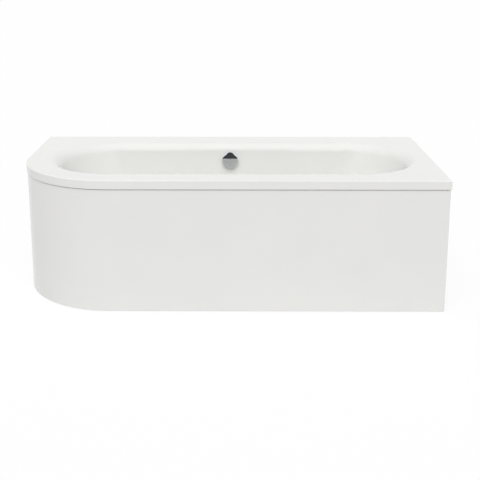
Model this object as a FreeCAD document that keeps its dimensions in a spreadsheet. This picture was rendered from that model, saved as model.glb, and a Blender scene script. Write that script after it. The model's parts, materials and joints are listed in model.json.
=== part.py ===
import FreeCAD, Part
import math
import os
import re

import Sketcher
from FreeCAD import Placement, Rotation, Vector

# Corner bathtub: an acrylic shell with a long oval basin, one bent apron panel round its front
# and left end, a steel and plastic undercarriage, and a waste with a knob-driven pop-up plug.
#
# Frame: +X along the bath towards its square right end, +Y towards the wall behind it, +Z up.
# The origin lies on the floor, under the middle of the bath. Sizes are in millimetres.

DOC = FreeCAD.newDocument("corner_bathtub")
SHEET = DOC.addObject("Spreadsheet::Sheet", "Sizes")

SIZES = {
    # ---- the bath as a whole ----
    "bath_length": 1700,
    "bath_width": 800,
    "bath_height": 536,
    "overshoot": 1,             # how far a cut runs past the face it opens
    "corner_radius": 385,       # of the rounded front left corner

    # ---- acrylic shell ----
    "shell_wall": 5,
    "lip_height": 36,           # of the turned-down edge of the rim
    "lip_round": 4,
    "rim_front": 124,           # from the lip's face to the basin's mouth, before it is rounded
    "rim_back": 168,
    "rim_left": 128,
    "rim_right": 92,
    "mouth_round": 40,
    "floor_level": 120,         # of the basin's floor above the ground, the room for the waste
    "floor_half": 525,          # half the length of the basin's floor
    "floor_radius": 188,        # half its width, and the radius of its ends
    "floor_round": 80,          # between floor and walls

    # ---- what is bonded to the shell ----
    "coat_wall": 4,             # glass fibre and resin on the back of the basin
    "board_thick": 15,
    "board_half_length": 450,
    "board_half_width": 110,
    "notch_half_width": 62,     # of the board's notch for the waste
    "batten_thick": 18,
    "batten_width": 40,
    "batten_inset": 14,         # from the lip's face

    # ---- apron panel ----
    "panel_wall": 4,
    "panel_inset": 3,           # behind the lip's face
    "panel_joint": 2.5,         # open joint under the lip
    "panel_gap": 4,             # over the floor
    "panel_flange": 18,
    "clip_width": 30,
    "clip_depth": 26,
    "clip_below": 10,           # how far a clip reaches under the panel's upper flange
    "clip_jaw": 10,
    "clip_play": 0.3,

    # ---- rails and feet ----
    "rail_spacing": 380,        # of each rail, from the middle of the basin
    "rail_end_gap": 80,         # from the lip's face to a rail's end, at the front and at the back
    "rail_width": 30,
    "rail_height": 30,
    "rail_wall": 2,
    "foot_inset": 30,           # of each foot from its rail's end
    "rod_radius": 6,
    "rod_above": 36,            # length of rod above the rail
    "rod_end_play": 0.3,        # under the rod's end
    "rod_play": 0.05,           # running fit of what turns or slides
    "nut_radius": 11.5,         # across the corners
    "nut_height": 8,
    "collar_radius": 10,        # wrench flats on the rod, across the corners
    "collar_low": 26,
    "pad_radius": 25,
    "pad_height": 22,
    "pad_edge": 5.5,            # height of the pad's outer edge
    "pad_shoulder": 13,         # height at which the pad's cone meets its neck
    "pad_neck": 11.5,           # outer radius of the neck
    "pad_seat": 8,              # thickness of plastic under the rod
    "bracket_wall": 3,
    "bracket_width": 24,
    "bracket_gap": 3,           # between a bracket's tip and the panel's wall
    "bracket_tab": 16,

    # ---- screws ----
    "screw_radius": 2,
    "screw_head": 4.5,
    "head_height": 2.2,
    "screw_bite": 11,           # how deep a screw goes into board or batten
    "screw_play": 0.2,          # between a screw and its hole

    # ---- overflow and knob ----
    "overflow_drop": 68,        # of the knob's axis at the wall, below the rim
    "knob_radius": 36,
    "knob_gap": 8,              # water inlet between wall and knob
    "knob_height": 14,
    "knob_wall": 4,
    "spindle_radius": 6,
    "spindle_step": 1,          # of the spindle's end in the knob
    "drum_radius": 18,          # of the disc that winds the cable
    "face_radius": 30,
    "face_wall": 3,
    "overflow_tube": 22,        # outer radius of the threaded tube through the wall
    "gasket_wall": 3,
    "box_radius": 32,           # of the overflow's box behind the wall
    "box_depth": 38,
    "box_wall": 3,
    "pipe_back": 25,            # from the wall's back to the pipe's axis
    "pipe_radius": 12.5,
    "pipe_wall": 2,
    "pipe_bend": 62,
    "pipe_play": 0.3,
    "socket_wall": 2.7,
    "socket_length": 40,
    "pipe_nut": 20,             # outer radius of the two union nuts
    "pipe_nut_length": 16,
    "cable_radius": 3,
    "tie_first": 120,           # from the overflow to the first clip that holds the cable to the pipe
    "tie_step": 120,
    "tie_width": 6.8,
    "cable_side": 29,           # from the pipe's axis

    # ---- waste ----
    "waste_back": 66,           # of the waste, from the middle of the basin towards the wall
    "waste_tube": 24,           # outer radius of the flange's threaded tube
    "waste_rim": 35,
    "waste_rise": 3.5,          # of the flange above the basin's floor
    "waste_bevel": 3,           # at the flange's outer edge
    "seat_width": 6,            # of the cone that the plug closes
    "seat_depth": 3,
    "waste_tube_length": 24,
    "hub_height": 6,
    "hole_play": 1,             # round a tube or rod in its hole
    "plug_radius": 29.5,
    "plug_shoulder": 1.8,       # of the plug's slope above its edge
    "plug_rise": 3,             # of the plug's middle above its edge
    "plug_edge": 1.5,
    "plug_play": 0.3,
    "seal_height": 2,
    "seal_width": 4.5,
    "stem_radius": 4,
    "waste_cup": 36,
    "cup_wall": 3,
    "inlet_height": 90,         # axis of the overflow's inlet above the floor
    "cup_low": 71,
    "outlet_radius": 20,        # outside of the pipe to the drain
    "outlet_wall": 2.5,
    "trap_radius": 55,
    "trap_low": 6,
    "trap_top": 58,
    "outlet_height": 37,
    "arm_root": 33,             # from the waste's axis to where the outlet's arm starts in the trap
    "spigot_radius": 25,        # of the pipe's wider end, which goes into the drain's socket
    "spigot_length": 50,
    "spigot_taper": 10,
    "outlet_end": 10,           # from the pipe's end to the wall plane
    "union_radius": 30,
    "union_length": 16,
    "trap_nut_length": 10,
}

for row, (alias, number) in enumerate(SIZES.items(), 1):
    SHEET.set(f"B{row}", str(number))
    SHEET.setAlias(f"B{row}", alias)
DOC.recompute()

# ---- places that follow from the sizes ----
HALF_LENGTH = "(bath_length / 2)"
HALF_WIDTH = "(bath_width / 2)"
MOUTH_RADIUS = "((bath_width - rim_front - rim_back) / 2)"
MOUTH_HALF = "((bath_length - rim_left - rim_right) / 2)"
BASIN_X = "((rim_left - rim_right) / 2)"
BASIN_Y = "((rim_front - rim_back) / 2)"
BASIN_FLOOR = "floor_level"
BASIN_DEPTH = "(bath_height - floor_level)"
WALL_TILT = f"atan(({MOUTH_RADIUS} - floor_radius) / {BASIN_DEPTH})"
CORNER_X = f"(-{HALF_LENGTH} + corner_radius)"
CORNER_Y = f"(-{HALF_WIDTH} + corner_radius)"
RIM_UNDER = "(bath_height - shell_wall)"
BATTEN_LOW = f"({RIM_UNDER} - batten_thick)"
PANEL_TOP = "(bath_height - lip_height - panel_joint)"
COAT_UNDER = f"({BASIN_FLOOR} - shell_wall - coat_wall)"
BOARD_UNDER = f"({COAT_UNDER} - board_thick)"
RAIL_HALF = f"({HALF_WIDTH} - rail_end_gap)"
FOOT_Y = f"({RAIL_HALF} - foot_inset)"
BRACKET_REACH = "(rail_end_gap - panel_inset - panel_wall - bracket_gap)"
WASTE_Y = f"({BASIN_Y} + waste_back)"
WALL_BACK = f"((shell_wall + coat_wall) * cos({WALL_TILT}))"


# ---- helpers ----

def full(text):
    """Puts the sheet's name before each alias of an expression."""
    def name(found):
        return "Sizes." + found[0] if found[0] in SIZES else found[0]
    return re.sub(r"[a-z_]+", name, text)


def value(text):
    """The number that an expression has now."""
    result = SHEET.evalExpression(full(text))
    return float(getattr(result, "Value", result))


def bind(thing, prop, text):
    """Ties a property to an expression of the sheet."""
    thing.setExpression(prop, full(text))


def place(thing, x="0", y="0", z="0", axis=None, angle=None):
    """Puts an object at x, y, z, and turns it about an axis by an angle."""
    if axis:
        thing.Placement = Placement(Vector(), Rotation(Vector(*axis), 1))
        bind(thing, "Placement.Rotation.Angle", angle)
    for letter, text in zip("xyz", (x, y, z)):
        bind(thing, f"Placement.Base.{letter}", text)
    return thing


def new_body(name):
    return DOC.addObject("PartDesign::Body", name)


def new_sketch(body, name, role="XY_Plane", lift="0"):
    """A sketch on one of its own body's origin planes, moved along the plane's normal."""
    sketch = body.newObject("Sketcher::SketchObject", name)
    plane = next(item for item in body.Origin.OriginFeatures if item.Role == role)
    sketch.AttachmentSupport = [(plane, "")]
    sketch.MapMode = "FlatFace"
    bind(sketch, "AttachmentOffset.Base.z", lift)
    return sketch


def pin(sketch, shape, spot, x, y):
    """Holds one point of a sketch's shape at x and y from the sketch's origin."""
    for kind, text in (("DistanceX", x), ("DistanceY", y)):
        if text is None:
            continue
        index = sketch.addConstraint(Sketcher.Constraint(kind, -1, 1, shape, spot, value(text)))
        bind(sketch, f"Constraints[{index}]", text)


def loop(sketch, points, arcs=None):
    """Closes a chain of lines through the points. arcs gives, for a point's number, the centre
    of the arc that leaves it, and +1 or -1 for the arc's sense where it is a half circle."""
    arcs = arcs or {}
    spots = [Vector(value(x), value(y), 0) for x, y in points]
    ends = []
    for number, start in enumerate(spots):
        stop = spots[(number + 1) % len(spots)]
        if number not in arcs:
            shape = sketch.addGeometry(Part.LineSegment(start, stop))
            ends.append((shape, 1, 2))
            continue
        centre = Vector(value(arcs[number][0]), value(arcs[number][1]), 0)
        sense = arcs[number][2] if len(arcs[number]) > 2 else (start - centre).cross(stop - centre).z
        first, last = (start, stop) if sense > 0 else (stop, start)
        circle = Part.Circle(centre, Vector(0, 0, 1), (start - centre).Length)
        angles = [math.atan2(spot.y - centre.y, spot.x - centre.x) for spot in (first, last)]
        shape = sketch.addGeometry(Part.ArcOfCircle(circle, *angles))
        ends.append((shape, 1, 2) if sense > 0 else (shape, 2, 1))
        held = (arcs[number][0], None) if start.y != stop.y else (None, arcs[number][1])
        pin(sketch, shape, 3, *held)
    for number, (shape, start, stop) in enumerate(ends):
        following, begin, _ = ends[(number + 1) % len(ends)]
        sketch.addConstraint(Sketcher.Constraint("Coincident", shape, stop, following, begin))
        pin(sketch, shape, start, *points[number])


def ring(sketch, x, y, radius):
    """A circle in a sketch."""
    circle = Part.Circle(Vector(value(x), value(y), 0), Vector(0, 0, 1), value(radius))
    shape = sketch.addGeometry(circle)
    index = sketch.addConstraint(Sketcher.Constraint("Radius", shape, value(radius)))
    bind(sketch, f"Constraints[{index}]", radius)
    pin(sketch, shape, 3, x, y)


def pad(body, sketch, length, symmetric=False):
    feature = body.newObject("PartDesign::Pad", sketch.Name + "_pad")
    feature.Profile = sketch
    feature.Midplane = symmetric
    bind(feature, "Length", length)
    return feature


def pocket(body, sketch, depth, reverse=True, symmetric=False):
    """Cuts a sketch's area out of the body: upwards where reverse is set."""
    feature = body.newObject("PartDesign::Pocket", sketch.Name + "_pocket")
    feature.Profile = sketch
    feature.Reversed = reverse
    feature.Midplane = symmetric
    bind(feature, "Length", depth)
    return feature


def rounded(body, feature, name, radius, chosen):
    """Rounds those edges of a feature for which chosen(edge's box) is true."""
    DOC.recompute()
    edges = [f"Edge{number}" for number, edge in enumerate(feature.Shape.Edges, 1) if chosen(edge.BoundBox)]
    fillet = body.newObject("PartDesign::Fillet", name)
    fillet.Base = (feature, edges)
    bind(fillet, "Radius", radius)
    DOC.recompute()
    return fillet


def level(text, slack=0.01):
    """A test for edges that lie flat at a height."""
    height = value(text)
    return lambda box: abs(box.ZMin - height) < slack and abs(box.ZMax - height) < slack


def turned(label, profile, arcs=None):
    """A body of revolution about Z: profile is a closed chain of radius and height."""
    body = new_body(label)
    sketch = new_sketch(body, label + "_profile", "XZ_Plane")
    loop(sketch, profile, arcs)
    feature = body.newObject("PartDesign::Revolution", label + "_turned")
    feature.Profile = sketch
    feature.ReferenceAxis = (sketch, ["V_Axis"])
    feature.Angle = 360
    return body


def tube_profile(inner, outer, low, high):
    return [(inner, low), (outer, low), (outer, high), (inner, high)]


def box(name, x_low, x_high, y_low, y_high, z_low, z_high):
    """A block between six faces."""
    block = DOC.addObject("Part::Box", name)
    bind(block, "Length", f"{x_high} - ({x_low})")
    bind(block, "Width", f"{y_high} - ({y_low})")
    bind(block, "Height", f"{z_high} - ({z_low})")
    return place(block, x_low, y_low, z_low)


def cylinder(name, radius, length, x="0", y="0", z="0", axis=None, angle=None):
    rod = DOC.addObject("Part::Cylinder", name)
    bind(rod, "Radius", radius)
    bind(rod, "Height", length)
    return place(rod, x, y, z, axis, angle)


def hexagon(name, radius, height, x="0", y="0", z="0"):
    prism = DOC.addObject("Part::Prism", name)
    prism.Polygon = 6
    bind(prism, "Circumradius", radius)
    bind(prism, "Height", height)
    return place(prism, x, y, z)


def fuse(label, *shapes):
    joined = DOC.addObject("Part::MultiFuse", label)
    joined.Shapes = list(shapes)
    joined.Refine = True
    return joined


def cut(label, base, *tools):
    """Takes one tool after another away from the base."""
    for number, tool in enumerate(tools, 1):
        result = DOC.addObject("Part::Cut", label if number == len(tools) else f"{label}_step_{number}")
        result.Base = base
        result.Tool = tool
        base = result
    return base


def group(label, members):
    """Identical pieces that share one node, as separate solids."""
    compound = DOC.addObject("Part::Compound", label)
    compound.Links = members
    return compound


def screw(name, x, y, seat, tip):
    """A screw whose head lies on the seat, outside, and whose shank ends at the tip."""
    outside = f"{seat} - head_height" if value(tip) > value(seat) else f"{seat} + head_height"
    body = turned(name, [
        ("0", outside), ("screw_head", outside), ("screw_head", seat), ("screw_radius", seat),
        ("screw_radius", tip), ("0", tip),
    ])
    return place(body, x, y)


def screw_hole(name, x, y, low, high):
    return cylinder(name, "screw_radius + screw_play", f"{high} - ({low})", x, y, low)


PIECES = []


def keep(label, thing):
    """Marks an object as a finished piece, whose label names its file."""
    thing.Label = label
    PIECES.append(thing)
    return thing


# ---- outlines ----

def bath_outline(sketch, inset):
    """The rim's plan: square at the back and at the right end, round at the front left."""
    left = f"-{HALF_LENGTH} + {inset}"
    right = f"{HALF_LENGTH} - {inset}"
    front = f"-{HALF_WIDTH} + {inset}"
    back = f"{HALF_WIDTH} - {inset}"
    points = [(left, back), (left, CORNER_Y), (CORNER_X, front), (right, front), (right, back)]
    loop(sketch, points, {1: (CORNER_X, CORNER_Y)})


def apron_strip(sketch, outer, inner, end):
    """The plan of a strip that follows the front, the round corner and the left end."""
    right = f"{HALF_LENGTH} - {end}"
    back = f"{HALF_WIDTH} - {end}"
    points = [
        (f"-{HALF_LENGTH} + {outer}", back),
        (f"-{HALF_LENGTH} + {outer}", CORNER_Y),
        (CORNER_X, f"-{HALF_WIDTH} + {outer}"),
        (right, f"-{HALF_WIDTH} + {outer}"),
        (right, f"-{HALF_WIDTH} + {inner}"),
        (CORNER_X, f"-{HALF_WIDTH} + {inner}"),
        (f"-{HALF_LENGTH} + {inner}", CORNER_Y),
        (f"-{HALF_LENGTH} + {inner}", back),
    ]
    loop(sketch, points, {1: (CORNER_X, CORNER_Y), 5: (CORNER_X, CORNER_Y)})


def basin_oval(sketch, drop, grow):
    """The basin's plan at a depth below the rim, grown outwards: two half circles and straights."""
    share = f"(({drop}) / {BASIN_DEPTH})"
    radius = f"({MOUTH_RADIUS} - ({MOUTH_RADIUS} - floor_radius) * {share} + {grow})"
    half = f"({MOUTH_HALF} - ({MOUTH_HALF} - floor_half) * {share} + {grow})"
    left = f"{BASIN_X} - ({half} - {radius})"
    right = f"{BASIN_X} + ({half} - {radius})"
    points = [
        (left, f"{BASIN_Y} - {radius}"),
        (right, f"{BASIN_Y} - {radius}"),
        (right, f"{BASIN_Y} + {radius}"),
        (left, f"{BASIN_Y} + {radius}"),
    ]
    loop(sketch, points, {1: (right, BASIN_Y, 1), 3: (left, BASIN_Y, 1)})


def basin_loft(body, kind, name, top_drop, grow):
    """The basin as a solid with sloping walls, down to its floor grown by the same amount."""
    top = new_sketch(body, name + "_top", lift=f"bath_height - ({top_drop})")
    basin_oval(top, top_drop, grow)
    bottom = new_sketch(body, name + "_bottom", lift=f"{BASIN_FLOOR} - {grow}")
    basin_oval(bottom, f"{BASIN_DEPTH} + {grow}", grow)
    loft = body.newObject(kind, name)
    loft.Profile = top
    loft.Sections = [bottom]
    loft.Ruled = True
    return rounded(body, loft, name + "_round", f"floor_round + {grow}", level(f"{BASIN_FLOOR} - {grow}"))


def basin_solid(name, top_drop, grow):
    body = new_body(name)
    basin_loft(body, "PartDesign::AdditiveLoft", name + "_loft", top_drop, grow)
    return body


# ---- the overflow's frame: its origin on the basin's wall, +Z out of the wall along the knob's axis ----

OVERFLOW_Y = f"({BASIN_Y} + {MOUTH_RADIUS} - ({MOUTH_RADIUS} - floor_radius) * overflow_drop / {BASIN_DEPTH})"
OVERFLOW_Z = "(bath_height - overflow_drop)"


def at_overflow(thing):
    return place(thing, "0", OVERFLOW_Y, OVERFLOW_Z, (1, 0, 0), f"90 deg - {WALL_TILT}")


def at_waste(thing):
    return place(thing, "0", WASTE_Y, "0")


def overflow_point(x, along, out):
    """A point of the overflow's frame in the bath's frame."""
    turn = math.radians(90 - value(WALL_TILT))
    y = value(OVERFLOW_Y) + along * math.cos(turn) - out * math.sin(turn)
    z = value(OVERFLOW_Z) + along * math.sin(turn) + out * math.cos(turn)
    return Vector(x, y, z)


# ---- acrylic shell and what is bonded to it ----

def build_shell():
    """Rim, turned-down lip and basin, formed of one sheet, with holes for overflow and waste."""
    void = basin_solid("basin_void", "-mouth_round", "0")
    body = new_body("shell_body")
    slab = new_sketch(body, "rim_outline", lift="bath_height - lip_height")
    bath_outline(slab, "0")
    pad(body, slab, "lip_height")
    hollow = new_sketch(body, "rim_hollow", lift="bath_height - lip_height")
    bath_outline(hollow, "shell_wall")
    pocket(body, hollow, "lip_height - shell_wall")
    bowl = basin_loft(body, "PartDesign::AdditiveLoft", "basin_outside", "shell_wall / 2", "shell_wall")

    def under_mouth(box):
        return (level(RIM_UNDER)(box) and box.XMax < value(HALF_LENGTH) - value("rim_right") / 2
                and box.XMin > -value(HALF_LENGTH) + value("rim_left") / 2)

    bowl = rounded(body, bowl, "mouth_underside", "mouth_round - shell_wall", under_mouth)
    carve = body.newObject("PartDesign::Boolean", "basin_inside")
    carve.Type = "Cut"
    carve.Group = [void]
    DOC.recompute()

    def mouth(box):
        return (level("bath_height")(box) and box.XMax < value(HALF_LENGTH) - value("rim_right") / 2
                and box.XMin > -value(HALF_LENGTH) + value("rim_left") / 2
                and box.YMax < value(HALF_WIDTH) - value("rim_back") / 2)

    top = rounded(body, carve, "mouth_edge", "mouth_round", mouth)
    rounded(body, top, "lip_edge", "lip_round", level("bath_height"))
    overflow_hole = at_overflow(new_body("overflow_hole"))
    sketch = new_sketch(overflow_hole, "overflow_hole_ring", lift="-box_depth")
    ring(sketch, "0", "0", "overflow_tube + hole_play")
    pad(overflow_hole, sketch, "2 * box_depth")
    waste_hole = cylinder("waste_hole", "waste_tube + hole_play", "bath_height", "0", WASTE_Y, "0")
    keep("tub_shell", cut("tub_shell", body, overflow_hole, waste_hole))
    coat_outside = basin_solid("coat_outside", "lip_height", "(shell_wall + coat_wall)")
    coat_inside = basin_solid("coat_inside", "lip_height", "shell_wall")
    keep("glass_fibre_coat", cut("glass_fibre_coat", coat_outside, coat_inside, overflow_hole, waste_hole))


def build_boards():
    """Base board under the basin's floor, notched for the waste, and battens under the rim."""
    left, right = f"{BASIN_X} - board_half_length", f"{BASIN_X} + board_half_length"
    front, back = f"{BASIN_Y} - board_half_width", f"{BASIN_Y} + board_half_width"
    board = box("board_blank", left, right, front, back, BOARD_UNDER, COAT_UNDER)
    bores = []
    for number, (x, y) in enumerate(rail_screw_spots(), 1):
        tip = f"{BOARD_UNDER} + screw_bite + screw_play"
        bores.append(screw_hole(f"board_hole_{number}", x, y, BOARD_UNDER, tip))
    notch = box("board_notch", "-notch_half_width", "notch_half_width", f"{WASTE_Y} - notch_half_width",
                f"{back} + overshoot", f"{BOARD_UNDER} - overshoot", f"{COAT_UNDER} + overshoot")
    keep("base_board", cut("base_board", board, notch, *bores))

    holes = {"front_batten": [], "left_batten": [], "corner_batten": []}
    for number, (batten, x, y, turn) in enumerate(along_apron(), 1):
        spot = clip_screw_spot(x, y, turn)
        tip = f"{BATTEN_LOW} + screw_bite + screw_play"
        holes[batten].append(screw_hole(f"batten_hole_{number}", *spot, BATTEN_LOW, tip))
    near, far = "batten_inset", "(batten_inset + batten_width)"
    inner_left, inner_right = f"-{HALF_LENGTH} + {far}", f"{HALF_LENGTH} - {far}"
    inner_back = f"{HALF_WIDTH} - {far}"
    heights = (BATTEN_LOW, RIM_UNDER)
    for label, sides in {
        "front_batten": (CORNER_X, inner_right, f"-{HALF_WIDTH} + {near}", f"-{HALF_WIDTH} + {far}"),
        "left_batten": (f"-{HALF_LENGTH} + {near}", inner_left, CORNER_Y, f"{HALF_WIDTH} - {near}"),
        "back_batten": (inner_left, inner_right, inner_back, f"{HALF_WIDTH} - {near}"),
        "right_batten": (inner_right, f"{HALF_LENGTH} - {near}", f"-{HALF_WIDTH} + {near}",
                         f"{HALF_WIDTH} - {near}"),
    }.items():
        bores = holes.get(label, [])
        batten = box(label + "_blank" if bores else label, *sides, *heights)
        keep(label, cut(label, batten, *bores) if bores else batten)

    corner = new_body("corner_batten_blank")
    sketch = new_sketch(corner, "corner_batten_plan", lift=BATTEN_LOW)
    points = [
        (f"-{HALF_LENGTH} + {near}", CORNER_Y), (CORNER_X, f"-{HALF_WIDTH} + {near}"),
        (CORNER_X, f"-{HALF_WIDTH} + {far}"), (f"-{HALF_LENGTH} + {far}", CORNER_Y),
    ]
    loop(sketch, points, {0: (CORNER_X, CORNER_Y), 2: (CORNER_X, CORNER_Y)})
    pad(corner, sketch, "batten_thick")
    keep("corner_batten", cut("corner_batten", corner, *holes["corner_batten"]))


# ---- apron panel ----

FRONT_CLIPS = (0.12, 0.37, 0.62, 0.87)      # shares of the straight front
END_CLIPS = (0.2, 0.75)                     # shares of the straight left end
CORNER_CLIPS = (-30, -60)                   # degrees round the corner


def along_apron():
    """Where the panel is clipped: the batten, x, y and the turn that points a clip's +Y inwards."""
    spots = []
    for share in FRONT_CLIPS:
        spots.append(("front_batten", f"{CORNER_X} + ({HALF_LENGTH} - {CORNER_X}) * {share}",
                      f"-{HALF_WIDTH}", 0))
    for share in END_CLIPS:
        spots.append(("left_batten", f"-{HALF_LENGTH}",
                      f"{CORNER_Y} + ({HALF_WIDTH} - {CORNER_Y}) * {share}", -90))
    for turn in CORNER_CLIPS:
        spots.append(("corner_batten", f"{CORNER_X} + corner_radius * sin({turn} deg)",
                      f"{CORNER_Y} - corner_radius * cos({turn} deg)", turn))
    return spots


def clip_screw_spot(x, y, turn):
    """The screw's place: in the middle of what a clip has behind its jaw."""
    inward = "(batten_inset + (clip_jaw + clip_depth) / 2)"
    return f"{x} - {inward} * sin({turn} deg)", f"{y} + {inward} * cos({turn} deg)"


def build_panel():
    """The bent panel with its turned-in flanges, and the clips that hold its upper flange."""
    body = new_body("panel_body")
    block = new_sketch(body, "panel_block", lift="panel_gap")
    apron_strip(block, "panel_inset", "(panel_inset + panel_flange)", "panel_inset")
    pad(body, block, f"{PANEL_TOP} - panel_gap")
    inside = new_sketch(body, "panel_inside", lift="panel_gap + panel_wall")
    apron_strip(inside, "(panel_inset + panel_wall)", "(panel_inset + 2 * panel_flange)",
                "(panel_inset + panel_wall)")
    pocket(body, inside, f"{PANEL_TOP} - panel_gap - 2 * panel_wall")
    holes = [
        screw_hole(f"panel_hole_{number}", rail_x(side), BRACKET_SCREW_Y, "0", "panel_gap + 2 * panel_wall")
        for number, side in enumerate(("-1", "1"), 1)
    ]
    keep("apron_panel", cut("apron_panel", body, *holes))

    clips, screws = [], []
    face, tip = "batten_inset", "(batten_inset + clip_depth)"
    jaw_low = f"{PANEL_TOP} - panel_wall - clip_play"
    clip_low = f"{PANEL_TOP} - panel_wall - clip_below"
    for number, (_, x, y, turn) in enumerate(along_apron(), 1):
        clip = new_body(f"panel_clip_{number}_blank")
        sketch = new_sketch(clip, f"panel_clip_{number}_side", "YZ_Plane")
        loop(sketch, [
            (face, BATTEN_LOW), (face, f"{PANEL_TOP} + clip_play"),
            (f"{face} + clip_jaw", f"{PANEL_TOP} + clip_play"), (f"{face} + clip_jaw", jaw_low),
            (face, jaw_low), (face, clip_low), (tip, clip_low), (tip, BATTEN_LOW),
        ])
        pad(clip, sketch, "clip_width", symmetric=True)
        place(clip, x, y, "0", (0, 0, 1), f"{turn} deg")
        spot = clip_screw_spot(x, y, turn)
        hole = screw_hole(f"clip_hole_{number}", *spot, f"{clip_low} - overshoot", BATTEN_LOW)
        clips.append(cut(f"panel_clip_{number}", clip, hole))
        screws.append(screw(f"clip_screw_{number}", *spot, clip_low, f"{BATTEN_LOW} + screw_bite"))
    keep("panel_clips", group("panel_clips", clips))
    keep("clip_screws", group("clip_screws", screws))


# ---- rails and feet ----

BRACKET_SCREW_Y = f"(-{HALF_WIDTH} + panel_inset + panel_wall + (panel_flange - panel_wall) / 2)"


def rail_x(side):
    return f"({BASIN_X} + {side} * rail_spacing)"


RAIL_SCREWS = ("-0.8", "-0.4", "0.4", "0.8")    # shares of the board's half width


def rail_screw_spots():
    return [
        (rail_x(side), f"{BASIN_Y} + {step} * board_half_width")
        for side in ("-1", "1") for step in RAIL_SCREWS
    ]


def build_rails():
    """Two steel channels across the base board, open below, with their screws and nuts."""
    screws, nuts, locks, brackets, bracket_screws = [], [], [], [], []
    web = f"({BOARD_UNDER} - rail_wall)"
    end, foot = f"(-{RAIL_HALF})", "(panel_gap + panel_wall)"
    tab_y = f"({end} + bracket_tab / 2 - screw_radius)"
    for number, (x, y) in enumerate(rail_screw_spots(), 1):
        screws.append(screw(f"rail_screw_{number}", x, y, web, f"{BOARD_UNDER} + screw_bite"))
    for label, side in (("left_rail", "-1"), ("right_rail", "1")):
        x = rail_x(side)
        rail = new_body(label)
        sketch = new_sketch(rail, label + "_section", "XZ_Plane")
        low, high = f"{BOARD_UNDER} - rail_height", BOARD_UNDER
        outer, inner = "rail_width / 2", "(rail_width / 2 - rail_wall)"
        loop(sketch, [
            (f"-{outer}", low), (f"-{inner}", low), (f"-{inner}", web), (inner, web),
            (inner, low), (outer, low), (outer, high), (f"-{outer}", high),
        ])
        pad(rail, sketch, f"2 * {RAIL_HALF}", symmetric=True)
        holes = new_sketch(rail, label + "_holes", lift=f"{web} - rail_wall")
        for hand in ("-1", "1"):
            ring(holes, "0", f"{hand} * {FOOT_Y}", "rod_radius + hole_play")
        for _, y in rail_screw_spots()[:len(RAIL_SCREWS)]:
            ring(holes, "0", y, "screw_radius + screw_play")
        ring(holes, "0", tab_y, "screw_radius + screw_play")
        pocket(rail, holes, "3 * rail_wall")
        keep(label, place(rail, x))

        for number, hand in enumerate(("-1", "1"), 1):
            y = f"{hand} * {FOOT_Y}"
            for name, base, pile in (("nut", f"{web} - nut_height", nuts), ("lock", BOARD_UNDER, locks)):
                blank = hexagon(f"{label}_{name}_{number}_blank", "nut_radius", "nut_height", x, y, base)
                bore = cylinder(f"{label}_{name}_{number}_bore", "rod_radius + rod_play",
                                "3 * nut_height", x, y, f"{base} - nut_height")
                pile.append(cut(f"{label}_{name}_{number}", blank, bore))

        bracket = new_body(label + "_bracket_blank")
        side_view = new_sketch(bracket, label + "_bracket_side", "YZ_Plane")
        loop(side_view, [
            (f"{end} - {BRACKET_REACH}", foot), (end, foot), (end, BOARD_UNDER),
            (f"{end} + bracket_tab", BOARD_UNDER), (f"{end} + bracket_tab", f"{BOARD_UNDER} + bracket_wall"),
            (f"{end} - bracket_wall", f"{BOARD_UNDER} + bracket_wall"),
            (f"{end} - bracket_wall", f"{foot} + bracket_wall"),
            (f"{end} - {BRACKET_REACH}", f"{foot} + bracket_wall"),
        ])
        pad(bracket, side_view, "bracket_width", symmetric=True)
        place(bracket, x)
        bores = []
        for name, y, seat, tip in (
            ("low", BRACKET_SCREW_Y, f"({foot} + bracket_wall)", "panel_gap"),
            ("high", tab_y, f"({BOARD_UNDER} + bracket_wall)", f"({web} - rail_wall)"),
        ):
            bracket_screws.append(screw(f"{label}_bracket_screw_{name}", x, y, seat, tip))
            bores.append(screw_hole(f"{label}_bracket_hole_{name}", x, y, f"{tip} - overshoot", seat))
        brackets.append(cut(label + "_bracket", bracket, *bores))
    for label, things in (
        ("rail_screws", screws), ("rail_nuts", nuts), ("lock_nuts", locks),
        ("panel_brackets", brackets), ("bracket_screws", bracket_screws),
    ):
        keep(label, group(label, things))


def build_feet():
    """Four feet: a plastic pad, and a threaded rod that turns in it and in the rail's nut."""
    corners = [(side, hand) for side in ("-1", "1") for hand in ("-1", "1")]
    for number, (side, hand) in enumerate(corners, 1):
        x = rail_x(side)
        y = f"{hand} * {FOOT_Y}"
        bore = "rod_radius + rod_play"
        foot = turned(f"foot_pad_{number}", [
            ("0", "0"), ("pad_radius", "0"), ("pad_radius", "pad_edge"),
            ("pad_neck", "pad_shoulder"), ("pad_neck", "pad_height"),
            (bore, "pad_height"), (bore, "pad_seat"), ("0", "pad_seat"),
        ])
        keep(f"foot_pad_{number}", place(foot, x, y))
        rod_end = "(pad_seat + rod_end_play)"
        shank = cylinder(f"foot_rod_{number}_shank", "rod_radius", f"{BOARD_UNDER} + rod_above - {rod_end}",
                         x, y, rod_end)
        collar = hexagon(f"foot_rod_{number}_collar", "collar_radius", "nut_height", x, y, "collar_low")
        keep(f"foot_rod_{number}", fuse(f"foot_rod_{number}", shank, collar))


# ---- overflow and knob ----

def spokes(name, inner, outer, low, high, width="2 * stem_radius"):
    """Three bars from a hub to a tube, as one shape."""
    bars = []
    for number in range(3):
        bar = box(f"{name}_{number}", "0", "1", "0", "1", low, high)
        bind(bar, "Length", f"{outer} - ({inner})")
        bind(bar, "Width", width)
        turn = 120 * number
        place(bar, f"({inner}) * cos({turn} deg) + ({width}) / 2 * sin({turn} deg)",
              f"({inner}) * sin({turn} deg) - ({width}) / 2 * cos({turn} deg)", low,
              (0, 0, 1), f"{turn} deg")
        bars.append(bar)
    return bars


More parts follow.
